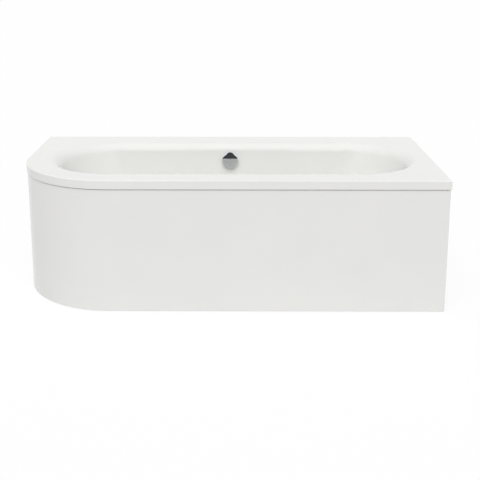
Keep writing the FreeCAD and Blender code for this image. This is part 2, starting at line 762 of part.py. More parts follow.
def build_overflow():
    """Face, knob and spindle in the basin, gasket and box behind its wall."""
    tube_end = f"(-{WALL_BACK} - box_depth / 2)"
    hub_bore = "(spindle_radius + rod_play)"
    hub_radius = "(spindle_radius + socket_wall)"
    face = turned("overflow_face_disc", [
        ("overflow_tube - box_wall", tube_end), ("overflow_tube", tube_end), ("overflow_tube", "0"),
        ("face_radius", "0"), ("face_radius", "face_wall / 2"), ("face_radius - face_wall / 2", "face_wall"),
        ("overflow_tube - box_wall", "face_wall"),
    ])
    hub = turned("overflow_face_hub", tube_profile(hub_bore, hub_radius, "-2 * face_wall", "face_wall"))
    bars = spokes("overflow_face_bar", "spindle_radius + socket_wall / 2", "overflow_tube - box_wall / 2",
                  "-2 * face_wall", "0")
    keep("overflow_face", at_overflow(fuse("overflow_face", face, hub, *bars)))

    back = f"(-{WALL_BACK})"
    seat = f"(-{WALL_BACK} - gasket_wall)"
    deep = f"({seat} - box_depth)"
    gasket = turned("overflow_gasket", tube_profile("overflow_tube + hole_play", "box_radius + box_wall",
                                                    seat, back))
    keep("overflow_gasket", at_overflow(gasket))

    shell = turned("overflow_box", [
        ("overflow_tube + pipe_play", seat), ("box_radius + box_wall", seat),
        ("box_radius + box_wall", f"{seat} - box_wall"), ("box_radius", f"{seat} - box_wall"),
        ("box_radius", f"{deep} - box_wall"), (hub_bore, f"{deep} - box_wall"), (hub_bore, deep),
        ("box_radius - box_wall", deep), ("box_radius - box_wall", f"{seat} - box_wall"),
        ("overflow_tube + pipe_play", f"{seat} - box_wall"),
    ])
    axis = f"(-{WALL_BACK} - pipe_back)"
    down = ((1, 0, 0), "90 deg")
    root = "(box_radius - 2 * box_wall)"
    reach = f"box_radius + socket_length / 2 - {root}"
    socket = cylinder("overflow_socket", "pipe_radius + pipe_play + socket_wall",
                      reach, "0", f"-{root}", axis, *down)
    socket_bore = cylinder("overflow_socket_bore", "pipe_radius + pipe_play", "3 * box_radius",
                           "0", "-box_radius / 2", axis, *down)
    boss = cylinder("overflow_cable_boss", "2 * cable_radius", reach, "cable_side", "-box_wall", axis, *down)
    boss_bore = cylinder("overflow_cable_bore", "cable_radius + pipe_play", "3 * box_radius",
                         "cable_side", "-box_radius / 2", axis, *down)
    room = cylinder("overflow_room", "box_radius - box_wall", "box_depth - box_wall", "0", "0", deep)
    shell_shape = cut("overflow_body", fuse("overflow_box_joined", shell, socket, boss),
                      room, socket_bore, boss_bore)
    keep("overflow_body", at_overflow(shell_shape))

    cap_low, cap_high = "knob_gap", "(knob_gap + knob_height)"
    cap = turned("knob_cap", [
        ("spindle_radius - spindle_step", cap_low), ("spindle_radius + knob_wall", cap_low),
        ("spindle_radius + knob_wall", f"{cap_high} - knob_wall"),
        ("knob_radius - knob_wall", f"{cap_high} - knob_wall"),
        ("knob_radius - knob_wall", cap_low), ("knob_radius", cap_low),
        ("knob_radius", f"{cap_high} - knob_wall / 2"), ("knob_radius - knob_wall / 2", cap_high),
        ("0", cap_high), ("0", f"{cap_high} - knob_wall / 2"),
        ("spindle_radius - spindle_step", f"{cap_high} - knob_wall / 2"),
    ])
    keep("overflow_knob", at_overflow(cap))

    spindle = turned("knob_spindle", [
        ("0", f"{deep} - box_wall"), ("spindle_radius", f"{deep} - box_wall"),
        ("spindle_radius", f"{deep} + clip_play"), ("drum_radius", f"{deep} + clip_play"),
        ("drum_radius", f"{deep} + box_wall"), ("spindle_radius", f"{deep} + box_wall"),
        ("spindle_radius", cap_low), ("spindle_radius - spindle_step", cap_low),
        ("spindle_radius - spindle_step", f"{cap_high} - knob_wall / 2"),
        ("0", f"{cap_high} - knob_wall / 2"),
    ])
    keep("knob_spindle", at_overflow(spindle))


def bent_run(label, across, outer, bore, begin, finish):
    """A tube in the plane x = across: down the back of the wall, round one bend, and forwards
    to the waste. begin is the start along the overflow's frame, finish the end's y."""
    top = overflow_point(across, begin, -value(WALL_BACK) - value("pipe_back"))
    low = value("inlet_height")
    slope = math.radians(value(WALL_TILT))
    corner = Vector(across, top.y - (top.z - low) * math.tan(slope), low)
    end = Vector(across, finish, low)
    down = (corner - top).normalize()
    forward = (end - corner).normalize()
    reach = value("pipe_bend") * math.tan(down.getAngle(forward) / 2)
    arc_start = corner - down * reach
    arc_end = corner + forward * reach
    inward = (forward - down).normalize()
    middle_gap = value("pipe_bend") * (1 / math.cos(down.getAngle(forward) / 2) - 1)
    arc_middle = corner + inward * middle_gap
    path = Part.Wire([
        Part.LineSegment(top, arc_start).toShape(),
        Part.Arc(arc_start, arc_middle, arc_end).toShape(),
        Part.LineSegment(arc_end, end).toShape(),
    ])
    print(label, "path", round(path.Length, 1), "bend", value("pipe_bend"))

    def swept(radius):
        section = Part.Wire([Part.Circle(top, down, radius).toShape()])
        return path.makePipeShell([section], True, False)

    shape = swept(outer)
    if bore:
        shape = shape.cut(swept(bore))
    thing = DOC.addObject("Part::Feature", label)
    thing.Shape = shape
    thing.Placement = Placement()
    keep(label, thing)
    return down


def build_pipe():
    """Overflow pipe with its union nuts, and the cable that runs beside it in two clips."""
    waste_side = value(WASTE_Y) + value("waste_cup")
    start = -value("box_radius") - value("socket_wall")
    down = bent_run("overflow_pipe", 0, value("pipe_radius"), value("pipe_radius - pipe_wall"),
                            start, waste_side + value("socket_wall"))
    bent_run("pull_cable", value("cable_side"), value("cable_radius"), 0, start, waste_side)

    profile = [
        ("pipe_radius + pipe_play", "0"), ("pipe_nut", "0"), ("pipe_nut", "pipe_nut_length"),
        ("pipe_radius + pipe_play + socket_wall + pipe_play", "pipe_nut_length"),
        ("pipe_radius + pipe_play + socket_wall + pipe_play", "socket_wall"),
        ("pipe_radius + pipe_play", "socket_wall"),
    ]
    axis = f"(-{WALL_BACK} - pipe_back)"
    upper = turned("overflow_nut_ring", profile)
    place(upper, "0", "-box_radius - socket_length / 2 - socket_wall - pipe_play", axis, (1, 0, 0), "-90 deg")
    keep("overflow_nut", at_overflow(group("overflow_nut", [upper])))
    lower = turned("inlet_nut", profile)
    end = f"{WASTE_Y} + waste_cup + socket_length / 2 + socket_wall + pipe_play"
    keep("inlet_nut", place(lower, "0", end, "inlet_height", (1, 0, 0), "90 deg"))

    clips = []
    for number in (1, 2):
        along = value(f"tie_first + {number - 1} * tie_step")
        spot = overflow_point(0, start - along, -value(WALL_BACK) - value("pipe_back"))
        parts, bores = [], []
        for name, x, radius in (("pipe", "0", "pipe_radius"), ("cable", "cable_side", "cable_radius")):
            tie = f"cable_clip_{number}_{name}"
            parts.append(cylinder(tie, f"{radius} + pipe_play + socket_wall", "tie_width", x))
            bores.append(cylinder(tie + "_bore", f"{radius} + pipe_play", "3 * tie_width",
                                  x, "0", "-tie_width"))
        parts.append(box(f"cable_clip_{number}_bridge", "pipe_radius", "cable_side - cable_radius",
                         "-socket_wall / 2", "socket_wall / 2", "0", "tie_width"))
        clip = cut(f"cable_clip_{number}", fuse(f"cable_clip_{number}_joined", *parts), *bores)
        lean = -math.degrees(math.atan2(-down.y, -down.z))
        clip.Placement = Placement(spot, Rotation(Vector(1, 0, 0), lean))
        clips.append(clip)
    keep("cable_clips", group("cable_clips", clips))


# ---- waste ----

def build_waste():
    """Flange and pop-up plug in the floor, waste body and trap below it, pipe to the wall."""
    floor = BASIN_FLOOR
    inner = "(waste_tube - cup_wall)"
    low = f"({floor} - waste_tube_length)"
    rise = f"({floor} + waste_rise)"
    flange = turned("waste_flange_ring", [
        (inner, low), ("waste_tube", low), ("waste_tube", floor), ("waste_rim", floor),
        ("waste_rim", f"{rise} - waste_rise / 2"), ("waste_rim - waste_bevel", rise),
        (f"{inner} + seat_width", rise), (inner, f"{rise} - seat_depth"),
    ])
    hub_top = f"({low} + hub_height)"
    hub = turned("waste_hub", tube_profile("stem_radius + rod_play", "stem_radius + cup_wall", low, hub_top))
    bars = spokes("waste_bar", "stem_radius + cup_wall / 2", f"{inner} + cup_wall / 2",
                  low, hub_top, "cup_wall")
    keep("waste_flange", at_waste(fuse("waste_flange", flange, hub, *bars)))

    neck = f"({inner} - cup_wall)"
    shut = f"({rise} + plug_play)"
    plug = turned("waste_plug", [
        ("0", f"{low} - 2 * hub_height"), ("stem_radius", f"{low} - 2 * hub_height"),
        ("stem_radius", f"{floor} - cup_wall"), (neck, f"{floor} - cup_wall"), (neck, shut),
        ("plug_radius", shut), ("plug_radius", f"{shut} + plug_edge"),
        ("plug_radius - seat_width", f"{shut} + plug_edge + plug_shoulder"),
        ("0", f"{shut} + plug_edge + plug_rise"),
    ])
    keep("waste_plug", at_waste(plug))
    seal = turned("plug_seal", tube_profile(neck, f"{neck} + seal_width", f"{shut} - plug_play - seal_height",
                                            f"{shut} - plug_play"))
    keep("plug_seal", at_waste(seal))

    seat = f"({COAT_UNDER} - gasket_wall)"
    gasket = turned("waste_gasket", tube_profile("waste_tube + hole_play", "waste_cup + 2 * cup_wall",
                                                 seat, COAT_UNDER))
    keep("waste_gasket", at_waste(gasket))

    tail = "(outlet_radius - outlet_wall)"
    cup = turned("waste_cup_body", [
        ("waste_tube + pipe_play", seat), ("waste_cup + 2 * cup_wall", seat),
        ("waste_cup + 2 * cup_wall", f"{seat} - cup_wall"), ("waste_cup", f"{seat} - cup_wall"),
        ("waste_cup", "cup_low"), ("outlet_radius", "cup_low"), ("outlet_radius", "trap_low + 3 * cup_wall"),
        (tail, "trap_low + 3 * cup_wall"), (tail, "cup_low + cup_wall"),
        ("waste_cup - cup_wall", "cup_low + cup_wall"), ("waste_cup - cup_wall", f"{seat} - cup_wall"),
        ("waste_tube + pipe_play", f"{seat} - cup_wall"),
    ])
    back = ((1, 0, 0), "-90 deg")
    root = "(waste_cup - 2 * cup_wall)"
    reach = f"waste_cup + socket_length / 2 - {root}"
    socket = cylinder("waste_socket", "pipe_radius + pipe_play + socket_wall", reach,
                      "0", root, "inlet_height", *back)
    socket_bore = cylinder("waste_socket_bore", "pipe_radius + pipe_play", "3 * waste_cup",
                           "0", "waste_cup / 2", "inlet_height", *back)
    boss = cylinder("waste_cable_boss", "2 * cable_radius", reach,
                    "cable_side", "cup_wall", "inlet_height", *back)
    boss_bore = cylinder("waste_cable_bore", "cable_radius + pipe_play", "3 * waste_cup",
                         "cable_side", "waste_cup / 2", "inlet_height", *back)
    room = cylinder("waste_room", "waste_cup - cup_wall", f"{seat} - 2 * cup_wall - cup_low",
                    "0", "0", "cup_low + cup_wall")
    joined = fuse("waste_joined", cup, socket, boss)
    keep("waste_body", at_waste(cut("waste_body", joined, room, socket_bore, boss_bore)))

    collar_bore = "(outlet_radius + pipe_play)"
    collar = "(outlet_radius + pipe_play + cup_wall)"
    collar_top = "(trap_top + trap_nut_length - cup_wall)"
    drum = turned("trap_drum", [
        ("0", "trap_low"), ("trap_radius - cup_wall", "trap_low"), ("trap_radius", "trap_low + cup_wall"),
        ("trap_radius", "trap_top"), (collar, "trap_top"), (collar, collar_top), (collar_bore, collar_top),
        (collar_bore, "trap_top - cup_wall"), ("trap_radius - cup_wall", "trap_top - cup_wall"),
        ("trap_radius - cup_wall", "trap_low + cup_wall"), ("0", "trap_low + cup_wall"),
    ])
    arm = cylinder("trap_arm", collar, "trap_radius + union_length - arm_root", "0", "arm_root",
                   "outlet_height", *back)
    arm_bore = cylinder("trap_arm_bore", collar_bore, "2 * trap_radius", "0", "trap_radius / 2",
                        "outlet_height", *back)
    drum_room = cylinder("trap_room", "trap_radius - cup_wall", "trap_top - trap_low - 2 * cup_wall",
                         "0", "0", "trap_low + cup_wall")
    keep("trap_body", at_waste(cut("trap_body", fuse("trap_joined", drum, arm), drum_room, arm_bore)))

    def union(name, length):
        return turned(name, [
            (collar_bore, "0"), ("union_radius", "0"), ("union_radius", length),
            (f"{collar} + pipe_play", length), (f"{collar} + pipe_play", "cup_wall"),
            (collar_bore, "cup_wall"),
        ])

    high_nut = union("trap_nut", "trap_nut_length")
    nut_top = f"{collar_top} + cup_wall + pipe_play"
    keep("trap_nut", place(high_nut, "0", WASTE_Y, nut_top, (1, 0, 0), "180 deg"))
    side_nut = union("outlet_nut", "union_length")
    nut_end = f"{WASTE_Y} + trap_radius + union_length + cup_wall + pipe_play"
    keep("outlet_nut", place(side_nut, "0", nut_end, "outlet_height", (1, 0, 0), "90 deg"))
    pipe_length = f"({HALF_WIDTH} - outlet_end - {WASTE_Y} - trap_radius)"
    spigot_start = f"({pipe_length} - spigot_length)"
    pipe = turned("outlet_pipe", [
        (tail, "0"), ("outlet_radius", "0"), ("outlet_radius", f"{spigot_start} - spigot_taper"),
        ("spigot_radius", spigot_start), ("spigot_radius", pipe_length),
        ("spigot_radius - outlet_wall", pipe_length), ("spigot_radius - outlet_wall", spigot_start),
        (tail, f"{spigot_start} - spigot_taper"),
    ])
    keep("outlet_pipe", place(pipe, "0", f"{WASTE_Y} + trap_radius", "outlet_height", *back))


# ---- making and writing the pieces ----

def write_pieces():
    """Checks every object and every piece, then writes each piece to its own file."""
    DOC.recompute()
    for thing in DOC.Objects:
        if "Invalid" in thing.State or "Error" in thing.State:
            raise RuntimeError(f"{thing.Label} failed: {thing.State}")
    for piece in PIECES:
        if piece.Shape.isNull() or not piece.Shape.isValid() or not piece.Shape.Solids:
            raise RuntimeError(f"{piece.Label} has no valid shape")
    os.makedirs("parts", exist_ok=True)
    for piece in PIECES:
        piece.Shape.exportStep(f"parts/{piece.Label}.step")
        print(piece.Label, len(piece.Shape.Solids), "solid(s)", round(piece.Shape.Volume), "mm3")


build_shell()
build_boards()
build_panel()
build_rails()
build_feet()
build_overflow()
build_pipe()
build_waste()
write_pieces()
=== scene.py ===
# %% [markdown]
# # A corner bathtub
#
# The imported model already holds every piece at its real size. This script gives the pieces
# their looks. The acrylic shell, its bent panel, the sprayed coat behind the basin and the
# fittings that show are modelled again with finer surfaces, and every other piece keeps its
# shape and gets a finish. All lengths are metres, in the model's own frame: X runs along the
# bath to its square right end, Y towards the wall behind it, Z up from the floor.

# %% Load the frame
import json
import math

import bmesh
import bpy
from mathutils import Matrix, Vector, noise


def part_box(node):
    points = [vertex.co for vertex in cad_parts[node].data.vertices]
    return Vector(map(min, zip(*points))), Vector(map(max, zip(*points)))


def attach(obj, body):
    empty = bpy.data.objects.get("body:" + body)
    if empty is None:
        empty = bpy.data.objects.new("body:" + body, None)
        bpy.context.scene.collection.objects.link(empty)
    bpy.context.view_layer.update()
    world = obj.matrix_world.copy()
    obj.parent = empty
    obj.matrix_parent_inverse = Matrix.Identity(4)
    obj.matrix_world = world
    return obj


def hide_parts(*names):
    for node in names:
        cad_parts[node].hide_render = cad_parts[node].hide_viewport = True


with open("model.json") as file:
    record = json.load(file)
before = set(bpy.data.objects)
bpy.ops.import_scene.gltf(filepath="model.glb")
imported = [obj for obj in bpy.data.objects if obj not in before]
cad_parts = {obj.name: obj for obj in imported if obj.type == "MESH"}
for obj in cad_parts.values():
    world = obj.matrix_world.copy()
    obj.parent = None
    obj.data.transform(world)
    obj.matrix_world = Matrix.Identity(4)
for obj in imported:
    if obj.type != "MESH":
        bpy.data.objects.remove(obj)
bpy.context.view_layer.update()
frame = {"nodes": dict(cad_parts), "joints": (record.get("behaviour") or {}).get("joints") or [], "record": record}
MM = 0.001

# %% [markdown]
# ## Driving sizes
#
# Places come from the frame wherever it knows them. What a box can't tell, such as the
# radius of a bend, is written here once, in millimetres as a maker would say it.

# %% Driving sizes
SHELL_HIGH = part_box("tub_shell")[1]
RIM_TOP = SHELL_HIGH.z
HALF_LENGTH = SHELL_HIGH.x
HALF_WIDTH = SHELL_HIGH.y

CORNER_RADIUS = 385 * MM
SHELL_WALL = 5 * MM
LIP_HEIGHT = 36 * MM
LIP_ROUND = 5.5 * MM
RIM_FRONT = 124 * MM            # width of the flat rim on each side of the basin's mouth
RIM_BACK = 168 * MM
RIM_LEFT = 128 * MM
RIM_RIGHT = 92 * MM
MOUTH_ROUND = 40 * MM
FLOOR_LEVEL = 120 * MM
FLOOR_HALF = 525 * MM           # half the floor's length, before its edge is rounded
FLOOR_RADIUS = 188 * MM
FLOOR_ROUND = 80 * MM
COAT_WALL = 4 * MM

MOUTH_RADIUS = HALF_WIDTH - (RIM_FRONT + RIM_BACK) / 2
MOUTH_HALF = HALF_LENGTH - (RIM_LEFT + RIM_RIGHT) / 2
MOUTH_SPREAD = MOUTH_HALF - MOUTH_RADIUS        # from the middle to a round end's centre
FLOOR_SPREAD = FLOOR_HALF - FLOOR_RADIUS
BASIN_MIDDLE = Vector(((RIM_LEFT - RIM_RIGHT) / 2, (RIM_FRONT - RIM_BACK) / 2, 0))
BASIN_DEPTH = RIM_TOP - FLOOR_LEVEL
WALL_TILT = math.atan((MOUTH_RADIUS - FLOOR_RADIUS) / BASIN_DEPTH)
CORNER_AXIS = Vector((-HALF_LENGTH + CORNER_RADIUS, -HALF_WIDTH + CORNER_RADIUS, 0))
print("basin", round(2 * MOUTH_HALF, 3), "by", round(2 * MOUTH_RADIUS, 3), "wall tilt",
      round(math.degrees(WALL_TILT), 1))

# %% [markdown]
# ## Small helpers for finishes
#
# A finish is a few nodes round one shader. One function turns a colour as a painter writes it
# into the linear numbers that light needs. Another adds a node with its settings and links.

# %% Colours and nodes
def linear(text):
    """An sRGB colour such as #f0f0ee as linear red, green, blue and alpha."""
    parts = [int(text[place:place + 2], 16) / 255 for place in (1, 3, 5)]
    return (*[part / 12.92 if part <= 0.04045 else ((part + 0.055) / 1.055) ** 2.4 for part in parts], 1)


def add(tree, kind, settings=None, links=None):
    """Adds a node. settings are its properties or its sockets' values, links its sources."""
    made = tree.nodes.new(kind)
    for name, value in (settings or {}).items():
        if isinstance(name, str) and hasattr(made, name):
            setattr(made, name, value)
        else:
            made.inputs[name].default_value = value
    for name, source in (links or {}).items():
        tree.links.new(source, made.inputs[name])
    return made


def finish(name, base, roughness, **sockets):
    """A new material with one shader. Returns the material, its nodes and the shader."""
    material = bpy.data.materials.new(name)
    material.use_nodes = True
    tree = material.node_tree
    shader = tree.nodes["Principled BSDF"]
    shader.inputs["Base Color"].default_value = linear(base)
    shader.inputs["Roughness"].default_value = roughness
    for socket, value in sockets.items():
        shader.inputs[socket.replace("_", " ")].default_value = value
    return material, tree, shader


def between(tree, source, low, high):
    """A ramp from one colour to another, driven by a pattern."""
    ramp = add(tree, "ShaderNodeValToRGB", links={"Fac": source})
    ramp.color_ramp.elements[0].color = linear(low)
    ramp.color_ramp.elements[1].color = linear(high)
    return ramp


def relief(tree, shader, height, depth):
    """Bumps the surface by a pattern: depth is the real height of the pattern in metres."""
    bump = add(tree, "ShaderNodeBump", {"Strength": 1.0, "Distance": depth}, {"Height": height})
    tree.links.new(bump.outputs["Normal"], shader.inputs["Normal"])

# %% [markdown]
# ## Acrylic
#
# The bath and its panel are cast acrylic sheet, heated and drawn over a mould. Such sheet has
# a deep wet gloss, a very faint long wave from the drawing and a finer skin from the mould,
# and wiping leaves it a touch duller in places. Acrylic's index of refraction is 1.49.

# %% Acrylic
ACRYLIC = "#f0f0ee"
DRAWING_WAVE = 160 * MM         # from crest to crest of the long wave
MOULD_SKIN = 3 * MM
WIPE_MARK = 45 * MM

def thermoformed_acrylic():
    material, tree, shader = finish("thermoformed_acrylic", ACRYLIC, 0.12, IOR=1.49)
    place = add(tree, "ShaderNodeTexCoord")
    wave = add(tree, "ShaderNodeTexNoise", {"Scale": 1 / DRAWING_WAVE, "Detail": 1.0},
               {"Vector": place.outputs["Object"]})
    skin = add(tree, "ShaderNodeTexNoise", {"Scale": 1 / MOULD_SKIN, "Detail": 2.0},
               {"Vector": place.outputs["Object"]})
    both = add(tree, "ShaderNodeMath", {"operation": "MULTIPLY_ADD", 1: 0.02},
               {0: skin.outputs["Fac"], 2: wave.outputs["Fac"]})
    relief(tree, shader, both.outputs["Value"], 0.35 * MM)
    wiped = add(tree, "ShaderNodeTexNoise", {"Scale": 1 / WIPE_MARK, "Detail": 4.0, "Distortion": 0.6},
                {"Vector": place.outputs["Object"]})
    gloss = add(tree, "ShaderNodeMapRange", {"To Min": 0.09, "To Max": 0.16},
                {"Value": wiped.outputs["Fac"]})
    tree.links.new(gloss.outputs["Result"], shader.inputs["Roughness"])
    tint = between(tree, wave.outputs["Fac"], "#eeefec", "#f2f1ef")
    tree.links.new(tint.outputs["Color"], shader.inputs["Base Color"])
    return material

# %% [markdown]
# ## Glass fibre and resin
#
# Behind the basin a gun sprays chopped strands and polyester resin together, and a roller
# presses them flat. The strands stay visible as pale straws that cross at all angles under an
# amber resin, thick here and thin there. Six stretched noises, each turned another way, give
# straws on walls, ends and floor alike. Real strands are under a millimetre wide. They are
# drawn twice as wide, so that they show.

# %% Glass fibre and resin
STRAND_LENGTH = 40 * MM
STRAND_WIDTH = 1.9 * MM
STRAND_TURNS = (
    (0, 0.35, 0.1), (0, -0.75, -0.15), (0, 1.35, 0.2),
    (0, 0.5, 1.35), (0, -0.6, 1.8), (0.3, 0.1, 0.8),
)
RESIN_CLOUD = 110 * MM

def sprayed_glass_fibre():
    material, tree, shader = finish("sprayed_glass_fibre", "#d8d0b4", 0.42, IOR=1.55)
    place = add(tree, "ShaderNodeTexCoord")
    straws = None
    for turn in STRAND_TURNS:
        lay = add(tree, "ShaderNodeMapping", {
            "vector_type": "TEXTURE", "Rotation": turn,
            "Scale": (STRAND_LENGTH, STRAND_WIDTH, STRAND_WIDTH),
        }, {"Vector": place.outputs["Object"]})
        strand = add(tree, "ShaderNodeTexNoise", {"Scale": 1.0, "Detail": 0.0},
                     {"Vector": lay.outputs["Vector"]})
        if straws is None:
            straws = strand.outputs["Fac"]
            continue
        straws = add(tree, "ShaderNodeMath", {"operation": "MAXIMUM"},
                     {0: straws, 1: strand.outputs["Fac"]}).outputs["Value"]
    crisp = add(tree, "ShaderNodeMapRange", {"From Min": 0.6, "From Max": 0.8}, {"Value": straws})
    cloud = add(tree, "ShaderNodeTexNoise", {"Scale": 1 / RESIN_CLOUD, "Detail": 3.0},
                {"Vector": place.outputs["Object"]})
    resin = between(tree, cloud.outputs["Fac"], "#c4b88f", "#dcd5bb")
    fibre = add(tree, "ShaderNodeMix", {"data_type": "RGBA", 7: linear("#f0ebdc")},
                {0: crisp.outputs["Result"], 6: resin.outputs["Color"]})
    tree.links.new(fibre.outputs[2], shader.inputs["Base Color"])
    wet = add(tree, "ShaderNodeMapRange", {"To Min": 0.28, "To Max": 0.6}, {"Value": cloud.outputs["Fac"]})
    tree.links.new(wet.outputs["Result"], shader.inputs["Roughness"])
    relief(tree, shader, crisp.outputs["Result"], 0.5 * MM)
    return material

# %% [markdown]
# ## Boards
#
# The base board and the battens under the rim are chipboard: flat chips of wood, 3 to 12 mm
# long and pressed with glue, under a thin coat of resin. Cells of a Voronoi pattern are the
# chips, each with its own brown.

# %% Boards
CHIP = 7 * MM
COAT_CLOUD = 30 * MM

def resin_coated_chipboard(name, dark, light):
    material, tree, shader = finish(name, light, 0.5, IOR=1.5)
    place = add(tree, "ShaderNodeTexCoord")
    warp = add(tree, "ShaderNodeTexNoise", {"Scale": 1 / (2 * CHIP), "Detail": 2.0},
               {"Vector": place.outputs["Object"]})
    bent = add(tree, "ShaderNodeVectorMath", {"operation": "MULTIPLY_ADD", 1: (CHIP, CHIP, CHIP)},
               {0: warp.outputs["Color"], 2: place.outputs["Object"]})
    chips = add(tree, "ShaderNodeTexVoronoi", {"Scale": 1 / CHIP, "Randomness": 1.0},
                {"Vector": bent.outputs["Vector"]})
    shade = add(tree, "ShaderNodeSeparateColor", links={"Color": chips.outputs["Color"]})
    brown = between(tree, shade.outputs["Red"], dark, light)
    tree.links.new(brown.outputs["Color"], shader.inputs["Base Color"])
    coat = add(tree, "ShaderNodeTexNoise", {"Scale": 1 / COAT_CLOUD, "Detail": 3.0},
               {"Vector": place.outputs["Object"]})
    wet = add(tree, "ShaderNodeMapRange", {"To Min": 0.3, "To Max": 0.65}, {"Value": coat.outputs["Fac"]})
    tree.links.new(wet.outputs["Result"], shader.inputs["Roughness"])
    relief(tree, shader, chips.outputs["Distance"], 0.3 * MM)
    return material

# %% [markdown]
# ## Metals
#
# Four metals are in the undercarriage and the fittings. Galvanised sheet shows spangle, the
# crystals in which its zinc froze, several millimetres across. Electroplated zinc is finer,
# bluish with a breath of yellow. Chrome is a near mirror that only finger marks dull, and the
# spindle is brass straight from the lathe, with the fine grain of the tool's marks.

# %% Metals
SPANGLE = 7 * MM
PLATING_CLOUD = 12 * MM
FINGER_MARK = 9 * MM
TOOL_MARK = 0.6 * MM

def galvanised_sheet():
    material, tree, shader = finish("galvanised_sheet", "#bfc4c8", 0.42, Metallic=1.0)
    place = add(tree, "ShaderNodeTexCoord")
    crystals = add(tree, "ShaderNodeTexVoronoi", {"Scale": 1 / SPANGLE},
                   {"Vector": place.outputs["Object"]})
    grey = add(tree, "ShaderNodeSeparateColor", links={"Color": crystals.outputs["Color"]})
    tone = between(tree, grey.outputs["Red"], "#b3b9be", "#ccd1d4")
    tree.links.new(tone.outputs["Color"], shader.inputs["Base Color"])
    dull = add(tree, "ShaderNodeMapRange", {"To Min": 0.3, "To Max": 0.55},
               {"Value": grey.outputs["Green"]})
    tree.links.new(dull.outputs["Result"], shader.inputs["Roughness"])
    relief(tree, shader, crystals.outputs["Distance"], 0.05 * MM)
    return material


def electroplated_zinc():
    material, tree, shader = finish("electroplated_zinc", "#c8ccd0", 0.3, Metallic=1.0)
    place = add(tree, "ShaderNodeTexCoord")
    breath = add(tree, "ShaderNodeTexNoise", {"Scale": 1 / PLATING_CLOUD, "Detail": 3.0},
                 {"Vector": place.outputs["Object"]})
    tone = between(tree, breath.outputs["Fac"], "#bcc3cb", "#d2cfbd")
    tree.links.new(tone.outputs["Color"], shader.inputs["Base Color"])
    dull = add(tree, "ShaderNodeMapRange", {"To Min": 0.22, "To Max": 0.42},
               {"Value": breath.outputs["Fac"]})
    tree.links.new(dull.outputs["Result"], shader.inputs["Roughness"])
    return material


def polished_chrome():
    material, tree, shader = finish("polished_chrome", "#dfe2e5", 0.05, Metallic=1.0)
    place = add(tree, "ShaderNodeTexCoord")
    marks = add(tree, "ShaderNodeTexNoise", {"Scale": 1 / FINGER_MARK, "Detail": 4.0, "Distortion": 0.8},
                {"Vector": place.outputs["Object"]})
    gloss = add(tree, "ShaderNodeMapRange", {"From Min": 0.45, "To Min": 0.03, "To Max": 0.12},
                {"Value": marks.outputs["Fac"]})
    tree.links.new(gloss.outputs["Result"], shader.inputs["Roughness"])
    return material


def turned_brass():
    material, tree, shader = finish("turned_brass", "#c7a558", 0.28, Metallic=1.0)
    place = add(tree, "ShaderNodeTexCoord")
    marks = add(tree, "ShaderNodeTexNoise", {"Scale": 1 / TOOL_MARK, "Detail": 1.0},
                {"Vector": place.outputs["Object"]})
    tone = between(tree, marks.outputs["Fac"], "#b8944a", "#d6b76c")
    tree.links.new(tone.outputs["Color"], shader.inputs["Base Color"])
    relief(tree, shader, marks.outputs["Fac"], 0.03 * MM)
    return material

# %% [markdown]
# ## Moulded plastics and rubber
#
# Pipes, union nuts, clips and feet are injection moulded. All share one recipe: a plain
# colour with slow cloudiness from the melt, and the fine grain that spark erosion leaves in a
# mould. They differ in colour, grain and gloss. Gaskets are black rubber, matt and dusty.

# %% Moulded plastics and rubber
MELT_CLOUD = 25 * MM
GLOSS_SPREAD = 0.06             # of the roughness, to either side

def moulded(name, dark, light, roughness, grain, grain_depth):
    material, tree, shader = finish(name, light, roughness, IOR=1.5)
    place = add(tree, "ShaderNodeTexCoord")
    melt = add(tree, "ShaderNodeTexNoise", {"Scale": 1 / MELT_CLOUD, "Detail": 2.0},
               {"Vector": place.outputs["Object"]})
    tone = between(tree, melt.outputs["Fac"], dark, light)
    tree.links.new(tone.outputs["Color"], shader.inputs["Base Color"])
    eroded = add(tree, "ShaderNodeTexNoise", {"Scale": 1 / grain, "Detail": 3.0},
                 {"Vector": place.outputs["Object"]})
    gloss = add(tree, "ShaderNodeMapRange",
                {"To Min": roughness - GLOSS_SPREAD, "To Max": roughness + GLOSS_SPREAD},
                {"Value": eroded.outputs["Fac"]})
    tree.links.new(gloss.outputs["Result"], shader.inputs["Roughness"])
    relief(tree, shader, eroded.outputs["Fac"], grain_depth)
    return material

# %% [markdown]
# Each finish is filed under the name of the slot that the model's record gives it, so a piece
# finds its finish by that name. The two boards share a recipe, and so do all the plastics.

# %% Every finish by the name of its slot
FINISHES = {
    "acrylic": thermoformed_acrylic(),
    "glass_fibre": sprayed_glass_fibre(),
    "board": resin_coated_chipboard("chipboard_base", "#967a55", "#c6ab82"),
    "batten": resin_coated_chipboard("chipboard_batten", "#a2865f", "#cfb690"),
    "clip_plastic": moulded("polyamide_clip", "#2b2c2f", "#3a3b3f", 0.5, 0.8 * MM, 0.04 * MM),
    "zinc_steel": electroplated_zinc(),
    "galvanised_steel": galvanised_sheet(),
    "chrome": polished_chrome(),
    "rubber": moulded("epdm_rubber", "#161617", "#2a2a2b", 0.75, 0.6 * MM, 0.05 * MM),
    "pipe_plastic": moulded("polypropylene_pipe", "#d9d9d5", "#e4e4e1", 0.36, 1.2 * MM, 0.02 * MM),
    "nut_plastic": moulded("polypropylene_nut", "#4b5157", "#5c6268", 0.42, 0.8 * MM, 0.04 * MM),
    "spindle_brass": turned_brass(),
    "cable_sheath": moulded("pvc_sheath", "#202124", "#303236", 0.45, 1.0 * MM, 0.02 * MM),
    "foot_plastic": moulded("polyamide_foot", "#242528", "#333438", 0.55, 0.8 * MM, 0.05 * MM),
}
for slot, material in FINISHES.items():
    print(slot, "->", material.name, len(material.node_tree.nodes), "nodes")

